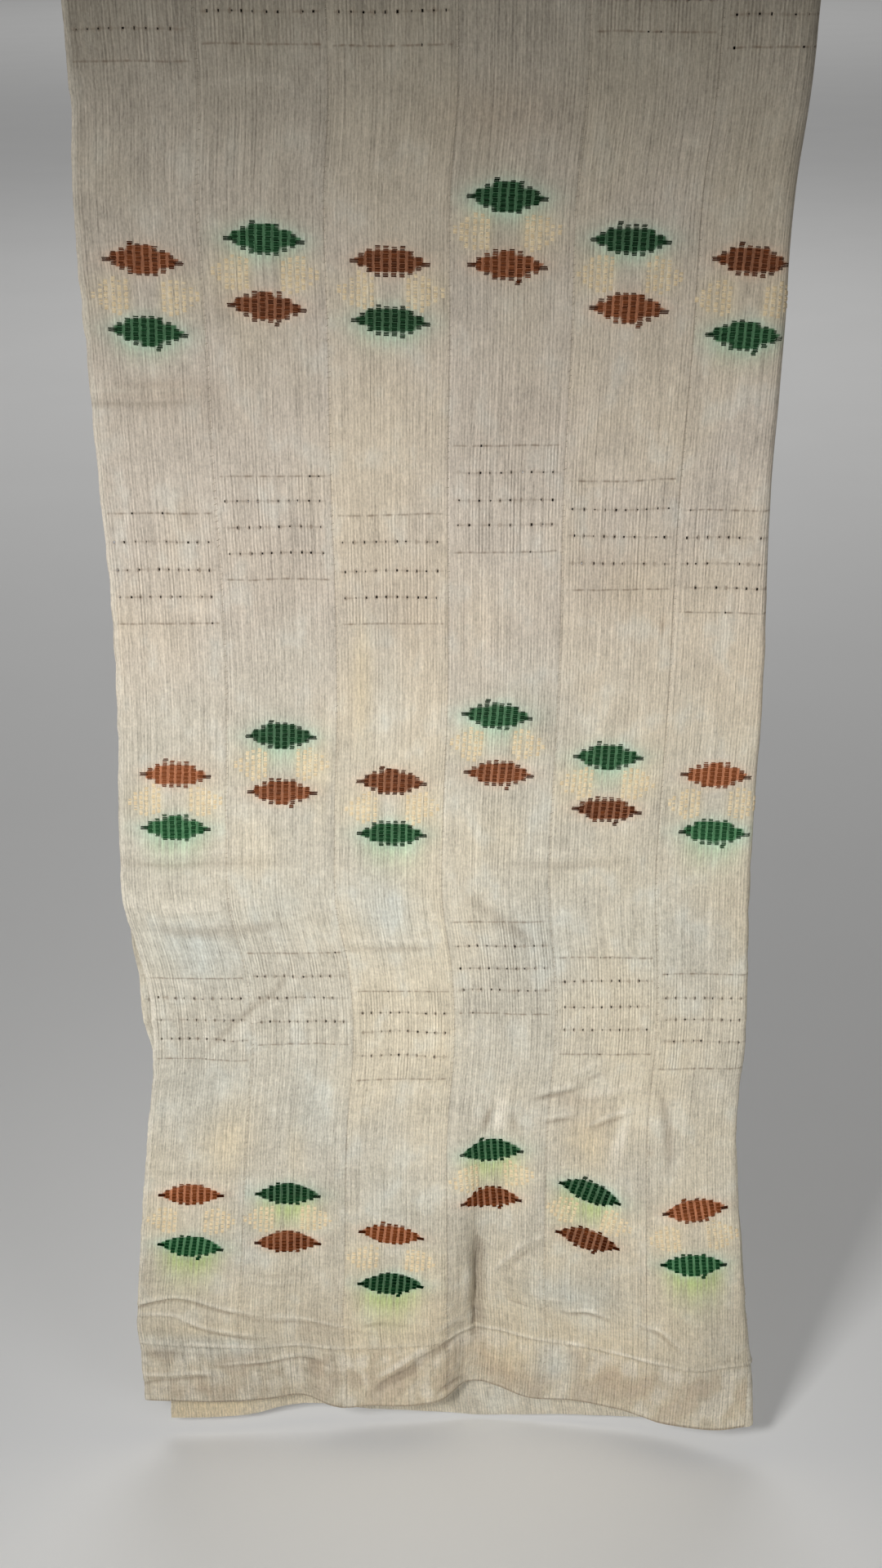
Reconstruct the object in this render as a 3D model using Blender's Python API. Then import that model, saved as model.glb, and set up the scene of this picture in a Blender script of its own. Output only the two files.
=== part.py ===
"""Hand-woven cloth of twelve narrow strips, doubled lengthwise and hung by its top edge.

Metres, +Z up. The front layer faces -Y and +X is to the right. The origin is the middle of the
front layer's top edge, so the whole cloth hangs below it. Each woven strip is one closed sheet,
lofted down through its own sections, because its folds, its hem and its edges make no two alike.
"""

from collections import namedtuple
from functools import lru_cache
from math import pi

import bmesh
import bpy
import numpy as np

COLLECTION_NAME = "aso_oke_cloth"

# The cloth as it was sewn
STRIP_COUNT = 12
STRIP_WIDTH = 0.110
CLOTH_WIDTH = STRIP_COUNT * STRIP_WIDTH
SEAM_GAP = 0.0004
LENGTH = 1.800
THICKNESS = 0.0014
HEM_DEPTH = 0.080
TOP_HEM_DEPTH = 0.030
HEM_STEP = 0.004

# The two layers and the fold between them
FOLD_REACH = 1.3
FOLD_REACH_LEAST = 0.012
SECTION_STEPS = 480
ARC_STEPS = 60
PROBE = 0.0004
SHARP_ANGLE = pi / 4

# The front layer's free selvedge: height above the hem's lowest corner, and place across
LeftEdge = namedtuple("LeftEdge", "height across")
LEFT_EDGE = [
    LeftEdge(1.800, -0.328), LeftEdge(1.520, -0.3275), LeftEdge(1.430, -0.3255),
    LeftEdge(1.350, -0.330), LeftEdge(1.220, -0.327), LeftEdge(1.105, -0.3245),
    LeftEdge(0.980, -0.320), LeftEdge(0.860, -0.3205), LeftEdge(0.725, -0.327),
    LeftEdge(0.640, -0.328), LeftEdge(0.570, -0.3125), LeftEdge(0.515, -0.307),
    LeftEdge(0.465, -0.3075), LeftEdge(0.385, -0.317), LeftEdge(0.310, -0.326),
    LeftEdge(0.205, -0.336), LeftEdge(0.100, -0.3455), LeftEdge(0.060, -0.3435),
    LeftEdge(0.000, -0.343),
]

# The back layer's free selvedge, which shows past the front's between 0.48 and 0.62
BackEdge = namedtuple("BackEdge", "height across")
BACK_EDGE = [
    BackEdge(1.800, -0.318), BackEdge(1.220, -0.316), BackEdge(0.900, -0.312),
    BackEdge(0.680, -0.320), BackEdge(0.600, -0.3235), BackEdge(0.560, -0.3185),
    BackEdge(0.515, -0.3175), BackEdge(0.465, -0.3085), BackEdge(0.340, -0.313),
    BackEdge(0.180, -0.320), BackEdge(0.000, -0.316),
]

# The fold: its place across, the length of cloth in front of it, and its radius
Fold = namedtuple("Fold", "height across cloth_in_front radius")
FOLD = [
    Fold(1.800, 0.338, 0.639, 0.015), Fold(1.520, 0.336, 0.639, 0.015),
    Fold(1.430, 0.3315, 0.639, 0.015), Fold(1.360, 0.3245, 0.639, 0.014),
    Fold(1.220, 0.3207, 0.640, 0.012), Fold(1.040, 0.3155, 0.643, 0.009),
    Fold(0.890, 0.3177, 0.646, 0.006), Fold(0.680, 0.3145, 0.649, 0.006),
    Fold(0.500, 0.3192, 0.651, 0.006), Fold(0.360, 0.3160, 0.653, 0.006),
    Fold(0.265, 0.3225, 0.655, 0.006), Fold(0.145, 0.3345, 0.662, 0.007),
    Fold(0.070, 0.3430, 0.669, 0.008), Fold(0.000, 0.3480, 0.675, 0.008),
]

# The lower folds, a row for each place across. Depths are how far each layer stands out at the
# heights named below, and lifts how much higher than the hem's lowest corner its hem hangs.
FRONT_HEIGHTS = (0.0, 0.08, 0.16, 0.27, 0.40, 0.56)
BACK_HEIGHTS = (0.0, 0.16, 0.27, 0.40, 0.56)
LIFT_HEIGHTS = (0.0, 0.10, 0.30, 0.60)
LIFT_SHARES = (1.0, 0.92, 0.35, 0.0)
LEAST_GAP = 0.0065
FrontPlace = namedtuple("FrontPlace", "across at_hem at_hem_line at_low at_mid at_high hem_lift")
FRONT_PLACES = [
    FrontPlace(-0.343, 0.000, -0.003, -0.002, 0.000, 0.000, 0.017),
    FrontPlace(-0.270, 0.004, 0.004, 0.002, 0.000, 0.000, 0.016),
    FrontPlace(-0.203, 0.000, 0.006, 0.003, 0.000, 0.002, 0.016),
    FrontPlace(-0.163, -0.004, 0.005, 0.002, 0.001, 0.002, 0.018),
    FrontPlace(-0.127, 0.008, 0.004, 0.002, 0.001, 0.000, 0.012),
    FrontPlace(-0.080, 0.008, 0.003, 0.001, 0.001, 0.000, 0.012),
    FrontPlace(-0.033, 0.007, 0.001, 0.000, 0.003, 0.000, 0.012),
    FrontPlace(0.000, -0.003, -0.006, 0.004, 0.008, 0.002, 0.014),
    FrontPlace(0.020, -0.021, -0.017, -0.004, 0.010, 0.003, 0.020),
    FrontPlace(0.038, -0.024, -0.022, -0.017, 0.000, 0.001, 0.021),
    FrontPlace(0.060, -0.020, -0.022, -0.014, -0.004, 0.001, 0.017),
    FrontPlace(0.088, -0.010, -0.018, -0.009, 0.002, 0.004, 0.010),
    FrontPlace(0.144, -0.005, -0.005, 0.002, 0.004, 0.005, 0.008),
    FrontPlace(0.190, 0.006, 0.010, 0.010, 0.013, 0.007, 0.006),
    FrontPlace(0.240, 0.029, 0.026, 0.021, 0.018, 0.008, 0.003),
    FrontPlace(0.280, 0.039, 0.036, 0.026, 0.018, 0.007, 0.002),
    FrontPlace(0.314, 0.041, 0.030, 0.021, 0.013, 0.004, 0.000),
    FrontPlace(0.348, 0.034, 0.022, 0.013, 0.009, 0.004, 0.000),
]
BackPlace = namedtuple("BackPlace", "across at_hem at_low at_mid at_high hem_lift")
BACK_PLACES = [
    BackPlace(-0.343, -0.012, -0.009, -0.007, -0.0065, -0.019),
    BackPlace(-0.230, -0.018, -0.012, -0.009, -0.007, -0.019),
    BackPlace(-0.165, -0.027, -0.016, -0.010, -0.008, -0.010),
    BackPlace(-0.080, -0.031, -0.022, -0.012, -0.008, -0.022),
    BackPlace(-0.020, -0.032, -0.027, -0.015, -0.009, -0.027),
    BackPlace(0.038, -0.035, -0.030, -0.017, -0.010, -0.034),
    BackPlace(0.088, -0.031, -0.026, -0.015, -0.009, -0.031),
    BackPlace(0.144, -0.024, -0.018, -0.010, -0.007, -0.027),
    BackPlace(0.200, -0.016, -0.010, -0.004, -0.005, -0.024),
    BackPlace(0.260, -0.005, -0.001, 0.003, -0.003, -0.017),
    BackPlace(0.314, 0.012, 0.006, 0.003, -0.005, -0.006),
    BackPlace(0.348, 0.018, 0.001, -0.003, -0.008, 0.000),
]

# Rows of each strip, closer together where the cloth is more uneven: from, to and how many
Rows = namedtuple("Rows", "start end count")
ROW_BANDS = [
    Rows(0.0, HEM_DEPTH - HEM_STEP, 5),
    Rows(HEM_DEPTH, 0.32, 12),
    Rows(0.32, 0.64, 8),
    Rows(0.64, LENGTH - TOP_HEM_DEPTH - HEM_STEP, 14),
    Rows(LENGTH - TOP_HEM_DEPTH, LENGTH, 2),
]

# Sections across each strip: more where it turns or is pinched
STRIP_COLUMNS = (5, 5, 7, 11, 8, 10, 9, 5, 6, 5, 4, 4)

Finish = namedtuple("Finish", "colour roughness metallic")
PALE_COTTON = Finish((0.60, 0.55, 0.45, 1.0), 0.92, 0.0)
WARM_COTTON = Finish((0.57, 0.51, 0.41, 1.0), 0.92, 0.0)


def smooth_curve(stations, values, at):
    """A smooth curve through the values at the stations, level beyond its two ends."""
    stations = np.asarray(stations, float)
    values = np.asarray(values, float)
    if stations[0] > stations[-1]:
        stations = stations[::-1]
        values = values[::-1]
    slopes = np.gradient(values, stations, axis=0)
    at = np.clip(np.asarray(at, float), stations[0], stations[-1])
    span = np.clip(np.searchsorted(stations, at, side="right") - 1, 0, len(stations) - 2)
    width = stations[span + 1] - stations[span]
    part = (at - stations[span]) / width
    start = (2 * part ** 3 - 3 * part ** 2 + 1) * values[span]
    end = (3 * part ** 2 - 2 * part ** 3) * values[span + 1]
    rise_start = (part ** 3 - 2 * part ** 2 + part) * width * slopes[span]
    rise_end = (part ** 3 - part ** 2) * width * slopes[span + 1]
    return start + end + rise_start + rise_end


def column(rows, name):
    """One named column of a table."""
    return [getattr(row, name) for row in rows]


def depth_at(places, names, heights, highest, across, height):
    """A layer's depth at a height, from its smooth curves across at the heights given.

    The last height's depth is the same all across.
    """
    stations = column(places, "across")
    curves = [smooth_curve(stations, column(places, name), across) for name in names]
    curves.append(np.full_like(curves[0], highest))
    return smooth_curve(heights, np.array(curves), height)


def front_depth(across, height):
    """How far the front layer stands out towards -Y."""
    names = ("at_hem", "at_hem_line", "at_low", "at_mid", "at_high")
    return depth_at(FRONT_PLACES, names, FRONT_HEIGHTS, 0.0, across, height)


def layer_gap(across, height):
    """How far the back layer's middle lies behind the front layer's."""
    names = ("at_hem", "at_low", "at_mid", "at_high")
    back = depth_at(BACK_PLACES, names, BACK_HEIGHTS, -LEAST_GAP, across, height)
    return np.maximum(front_depth(across, height) - back, LEAST_GAP)


@lru_cache(maxsize=None)
def section(height):
    """One level cut through the cloth: its cloth length, place across and depth.

    The cut runs from the front's selvedge round the fold to the back's selvedge.
    """
    left = float(smooth_curve(column(LEFT_EDGE, "height"), column(LEFT_EDGE, "across"), height))
    back = float(smooth_curve(column(BACK_EDGE, "height"), column(BACK_EDGE, "across"), height))
    heights = column(FOLD, "height")
    crest = float(smooth_curve(heights, column(FOLD, "across"), height))
    in_front = float(smooth_curve(heights, column(FOLD, "cloth_in_front"), height))
    radius = float(smooth_curve(heights, column(FOLD, "radius"), height))

    turn = np.linspace(0.0, pi / 2, ARC_STEPS)
    arc_across = crest - radius * (1.0 - np.cos(turn))
    arc_half = radius * np.sin(turn)

    def flat_part(edge):
        across = np.linspace(crest - radius, edge, SECTION_STEPS)[1:]
        away = (crest - radius - across) / max(FOLD_REACH * radius, FOLD_REACH_LEAST)
        half_gap = layer_gap(across, height) / 2
        return across, half_gap + (radius - half_gap) * (1.0 + away) * np.exp(-away)

    front_across, front_half = flat_part(left)
    back_across, back_half = flat_part(back)
    across = np.concatenate(
        [front_across[::-1], arc_across[::-1], arc_across[1:], back_across])
    half = np.concatenate([front_half[::-1], arc_half[::-1], -arc_half[1:], -back_half])
    depth = front_depth(across, height) - layer_gap(across, height) / 2 + half

    steps = np.hypot(np.diff(across), np.diff(depth))
    run = np.concatenate([[0.0], np.cumsum(steps)])
    run_to_crest = run[len(front_across) + ARC_STEPS - 1]
    front_scale = in_front / run_to_crest
    back_scale = (CLOTH_WIDTH - in_front) / (run[-1] - run_to_crest)
    cloth = np.where(
        run <= run_to_crest, run * front_scale, in_front + (run - run_to_crest) * back_scale)
    return cloth, across, depth


def lift(places, across, height):
    """How much higher than level one layer hangs here, most at the hem."""
    share = smooth_curve(LIFT_HEIGHTS, LIFT_SHARES, height)
    return share * smooth_curve(column(places, "across"), column(places, "hem_lift"), across)


def points_at(cloth_places, height):
    """Points of the cloth's middle surface at one height, for the given places along it."""
    cloth, across, depth = section(height)
    x = np.interp(cloth_places, cloth, across)
    y = -np.interp(cloth_places, cloth, depth)
    in_front = smooth_curve(column(FOLD, "height"), column(FOLD, "cloth_in_front"), height)
    behind = np.asarray(cloth_places) > in_front
    rise = np.where(behind, lift(BACK_PLACES, x, height), lift(FRONT_PLACES, x, height))
    return np.stack([x, y, height - LENGTH + rise], axis=-1)


def normals_at(cloth_places, height):
    """Unit normals of the cloth's face, away from the other layer."""
    low = max(height - PROBE, 0.0)
    high = min(height + PROBE, LENGTH)
    along = (points_at(np.minimum(cloth_places + PROBE, CLOTH_WIDTH), height)
             - points_at(np.maximum(cloth_places - PROBE, 0.0), height))
    upward = points_at(cloth_places, high) - points_at(cloth_places, low)
    normals = np.cross(along, upward)
    return normals / np.linalg.norm(normals, axis=-1, keepdims=True)


def row_heights():
    """Heights of the rows from the lower hem to the top edge."""
    heights = set()
    for band in ROW_BANDS:
        heights.update(np.linspace(band.start, band.end, band.count).round(5).tolist())
    return sorted(heights)


def inner_reach(height):
    """How far the cloth reaches behind its middle surface: a hem is turned up on the inside."""
    in_low_hem = height < HEM_DEPTH - HEM_STEP / 2
    in_top_hem = height > LENGTH - TOP_HEM_DEPTH - HEM_STEP / 2
    turned_up = THICKNESS if in_low_hem or in_top_hem else 0.0
    return THICKNESS / 2 + turned_up


def loft_strip(name, start, end, columns, finish, collection):
    """Make one strip as a closed sheet lofted through its level sections."""
    places = np.linspace(start, end, columns + 1)
    count = len(places)
    mesh_builder = bmesh.new()
    outer_rows = []
    inner_rows = []
    for height in row_heights():
        middle = points_at(places, height)
        normals = normals_at(places, height)
        outer = middle + normals * (THICKNESS / 2)
        inner = middle - normals * inner_reach(height)
        outer_rows.append([mesh_builder.verts.new(point) for point in outer])
        inner_rows.append([mesh_builder.verts.new(point) for point in inner])

    def two_triangles(low_left, low_right, high_right, high_left):
        mesh_builder.faces.new((low_left, low_right, high_right))
        mesh_builder.faces.new((low_left, high_right, high_left))

    # Both faces are parted along the same diagonal, so that the sheet keeps its thickness
    for rows in (outer_rows, inner_rows):
        for low, high in zip(rows, rows[1:]):
            for i in range(count - 1):
                two_triangles(low[i], low[i + 1], high[i + 1], high[i])
    for side in (0, -1):
        for row in range(len(outer_rows) - 1):
            two_triangles(inner_rows[row][side], outer_rows[row][side],
                          outer_rows[row + 1][side], inner_rows[row + 1][side])
    for end in (0, -1):
        for i in range(count - 1):
            two_triangles(inner_rows[end][i], inner_rows[end][i + 1],
                          outer_rows[end][i + 1], outer_rows[end][i])

    bmesh.ops.recalc_face_normals(mesh_builder, faces=mesh_builder.faces[:])
    mesh = bpy.data.meshes.new(name)
    mesh_builder.to_mesh(mesh)
    mesh_builder.free()
    mesh.shade_smooth()
    mesh.set_sharp_from_angle(angle=SHARP_ANGLE)
    strip = bpy.data.objects.new(name, mesh)
    strip.data.materials.append(finish)
    collection.objects.link(strip)
    return strip


def make_finish(name, finish):
    """A Principled material of the finish's colour, roughness and metallic value."""
    material = bpy.data.materials.new(name)
    material.use_nodes = True
    shader = material.node_tree.nodes["Principled BSDF"]
    shader.inputs["Base Color"].default_value = finish.colour
    shader.inputs["Roughness"].default_value = finish.roughness
    shader.inputs["Metallic"].default_value = finish.metallic
    return material


def main():
    """Clear the scene and make the twelve strips."""
    for old in list(bpy.data.objects):
        bpy.data.objects.remove(old)
    collection = bpy.data.collections.new(COLLECTION_NAME)
    bpy.context.scene.collection.children.link(collection)
    for index in range(STRIP_COUNT):
        name = f"strip_{index + 1:02d}"
        look = PALE_COTTON if index % 2 == 0 else WARM_COTTON
        finish = make_finish(f"{name}_cotton", look)
        start = index * STRIP_WIDTH + SEAM_GAP / 2
        end = (index + 1) * STRIP_WIDTH - SEAM_GAP / 2
        loft_strip(name, start, end, STRIP_COLUMNS[index], finish, collection)


main()
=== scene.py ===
"""Looks of an old cream cloth of twelve narrow woven strips, doubled and hung by its top edge.

Metres, +Z up, in the CAD model's own frame: the front layer faces -Y, +X is to the right, and
the origin is the middle of the front layer's top edge. A place on the cloth is given by its
distance along the cloth from the front selvedge, and its height above the hem's lowest corner.
"""

import logging
from dataclasses import dataclass, field
from enum import Enum
from math import cos, pi, radians, sin
from typing import Callable, Iterable, NamedTuple, Sequence, TypeVar

import bpy
import numpy as np
from mathutils import Matrix, Vector


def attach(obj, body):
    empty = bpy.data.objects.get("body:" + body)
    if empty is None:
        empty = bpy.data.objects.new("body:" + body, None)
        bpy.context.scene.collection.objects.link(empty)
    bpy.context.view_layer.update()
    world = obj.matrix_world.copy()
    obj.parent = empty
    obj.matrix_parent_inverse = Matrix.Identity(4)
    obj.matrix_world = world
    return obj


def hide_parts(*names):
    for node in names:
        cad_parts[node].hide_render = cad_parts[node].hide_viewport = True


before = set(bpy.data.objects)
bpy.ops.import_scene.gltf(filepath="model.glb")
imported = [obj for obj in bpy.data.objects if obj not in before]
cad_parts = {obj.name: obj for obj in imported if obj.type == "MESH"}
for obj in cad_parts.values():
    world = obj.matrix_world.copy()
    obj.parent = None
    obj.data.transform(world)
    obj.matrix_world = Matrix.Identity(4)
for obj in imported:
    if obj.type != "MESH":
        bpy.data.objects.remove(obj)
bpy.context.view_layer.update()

log = logging.getLogger("cloth")

Array = np.ndarray
Piece = bpy.types.Object
Material = bpy.types.Material
Socket = bpy.types.NodeSocket
Colour = tuple[float, float, float]

BODY = "root"
CLOTH_MAP = "weave"
MM_IN_METRE = 1000

# The cloth as it was sewn
STRIP_COUNT = 12
FRONT_STRIPS = 6
STRIP_WIDTH = 0.110
CLOTH_WIDTH = STRIP_COUNT * STRIP_WIDTH
LENGTH = 1.800
HEM_DEPTH = 0.080
TOP_HEM_DEPTH = 0.030
HEM_STEP = 0.004

# The two layers and the fold between them, as in the CAD source
FOLD_REACH = 1.3
FOLD_REACH_LEAST = 0.012
SECTION_STEPS = 480
ARC_STEPS = 60
LEAST_GAP = 0.0065
FRONT_HEIGHTS = (0.0, 0.08, 0.16, 0.27, 0.40, 0.56)
BACK_HEIGHTS = (0.0, 0.16, 0.27, 0.40, 0.56)
LIFT_HEIGHTS = (0.0, 0.10, 0.30, 0.60)
LIFT_SHARES = (1.0, 0.92, 0.35, 0.0)


Row = TypeVar("Row")


def table(kind: Callable[..., Row], *rows: tuple) -> tuple[Row, ...]:
    """Rows of one kind, made from their bare values."""
    return tuple(kind(*row) for row in rows)


class EdgePlace(NamedTuple):
    """Where a free selvedge hangs at one height."""

    height: float
    across: float


class FoldPlace(NamedTuple):
    """The fold at one height: its place, the cloth in front of it, and its radius."""

    height: float
    across: float
    cloth_in_front: float
    radius: float


class FrontPlace(NamedTuple):
    """How far the front layer stands out at five heights, and how much its hem is lifted."""

    across: float
    at_hem: float
    at_hem_line: float
    at_low: float
    at_mid: float
    at_high: float
    hem_lift: float


class BackPlace(NamedTuple):
    """How far the back layer stands out at four heights, and how much its hem is lifted."""

    across: float
    at_hem: float
    at_low: float
    at_mid: float
    at_high: float
    hem_lift: float


LEFT_EDGE = table(
    EdgePlace,
    (1.8, -0.328), (1.52, -0.3275), (1.43, -0.3255),
    (1.35, -0.33), (1.22, -0.327), (1.105, -0.3245),
    (0.98, -0.32), (0.86, -0.3205), (0.725, -0.327),
    (0.64, -0.328), (0.57, -0.3125), (0.515, -0.307),
    (0.465, -0.3075), (0.385, -0.317), (0.31, -0.326),
    (0.205, -0.336), (0.1, -0.3455), (0.06, -0.3435),
    (0.0, -0.343),
)
BACK_EDGE = table(
    EdgePlace,
    (1.8, -0.318), (1.22, -0.316), (0.9, -0.312),
    (0.68, -0.32), (0.6, -0.3235), (0.56, -0.3185),
    (0.515, -0.3175), (0.465, -0.3085), (0.34, -0.313),
    (0.18, -0.32), (0.0, -0.316),
)
FOLD = table(
    FoldPlace,
    (1.8, 0.338, 0.639, 0.015), (1.52, 0.336, 0.639, 0.015),
    (1.43, 0.3315, 0.639, 0.015), (1.36, 0.3245, 0.639, 0.014),
    (1.22, 0.3207, 0.64, 0.012), (1.04, 0.3155, 0.643, 0.009),
    (0.89, 0.3177, 0.646, 0.006), (0.68, 0.3145, 0.649, 0.006),
    (0.5, 0.3192, 0.651, 0.006), (0.36, 0.316, 0.653, 0.006),
    (0.265, 0.3225, 0.655, 0.006), (0.145, 0.3345, 0.662, 0.007),
    (0.07, 0.343, 0.669, 0.008), (0.0, 0.348, 0.675, 0.008),
)
FRONT_PLACES = table(
    FrontPlace,
    (-0.343, 0.0, -0.003, -0.002, 0.0, 0.0, 0.017),
    (-0.27, 0.004, 0.004, 0.002, 0.0, 0.0, 0.016),
    (-0.203, 0.0, 0.006, 0.003, 0.0, 0.002, 0.016),
    (-0.163, -0.004, 0.005, 0.002, 0.001, 0.002, 0.018),
    (-0.127, 0.008, 0.004, 0.002, 0.001, 0.0, 0.012),
    (-0.08, 0.008, 0.003, 0.001, 0.001, 0.0, 0.012),
    (-0.033, 0.007, 0.001, 0.0, 0.003, 0.0, 0.012),
    (0.0, -0.003, -0.006, 0.004, 0.008, 0.002, 0.014),
    (0.02, -0.021, -0.017, -0.004, 0.01, 0.003, 0.02),
    (0.038, -0.024, -0.022, -0.017, 0.0, 0.001, 0.021),
    (0.06, -0.02, -0.022, -0.014, -0.004, 0.001, 0.017),
    (0.088, -0.01, -0.018, -0.009, 0.002, 0.004, 0.01),
    (0.144, -0.005, -0.005, 0.002, 0.004, 0.005, 0.008),
    (0.19, 0.006, 0.01, 0.01, 0.013, 0.007, 0.006),
    (0.24, 0.029, 0.026, 0.021, 0.018, 0.008, 0.003),
    (0.28, 0.039, 0.036, 0.026, 0.018, 0.007, 0.002),
    (0.314, 0.041, 0.03, 0.021, 0.013, 0.004, 0.0),
    (0.348, 0.034, 0.022, 0.013, 0.009, 0.004, 0.0),
)
BACK_PLACES = table(
    BackPlace,
    (-0.343, -0.012, -0.009, -0.007, -0.0065, -0.019),
    (-0.23, -0.018, -0.012, -0.009, -0.007, -0.019),
    (-0.165, -0.027, -0.016, -0.01, -0.008, -0.01),
    (-0.08, -0.031, -0.022, -0.012, -0.008, -0.022),
    (-0.02, -0.032, -0.027, -0.015, -0.009, -0.027),
    (0.038, -0.035, -0.03, -0.017, -0.01, -0.034),
    (0.088, -0.031, -0.026, -0.015, -0.009, -0.031),
    (0.144, -0.024, -0.018, -0.01, -0.007, -0.027),
    (0.2, -0.016, -0.01, -0.004, -0.005, -0.024),
    (0.26, -0.005, -0.001, 0.003, -0.003, -0.017),
    (0.314, 0.012, 0.006, 0.003, -0.005, -0.006),
    (0.348, 0.018, 0.001, -0.003, -0.008, 0.0),
)


class CreaseForm(Enum):
    """The cross-section of a crease."""

    RIDGE = "a soft rounded crest, or a trough where its rise is negative"
    PLEAT = "raised on its upper side and sunk on its lower side"


class Crease(NamedTuple):
    """One crease: its rise and half width in metres, and its course over the cloth in mm."""

    form: CreaseForm
    rise: float
    width: float
    course: tuple[tuple[float, float], ...]


RIDGE = CreaseForm.RIDGE
PLEAT = CreaseForm.PLEAT

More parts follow.
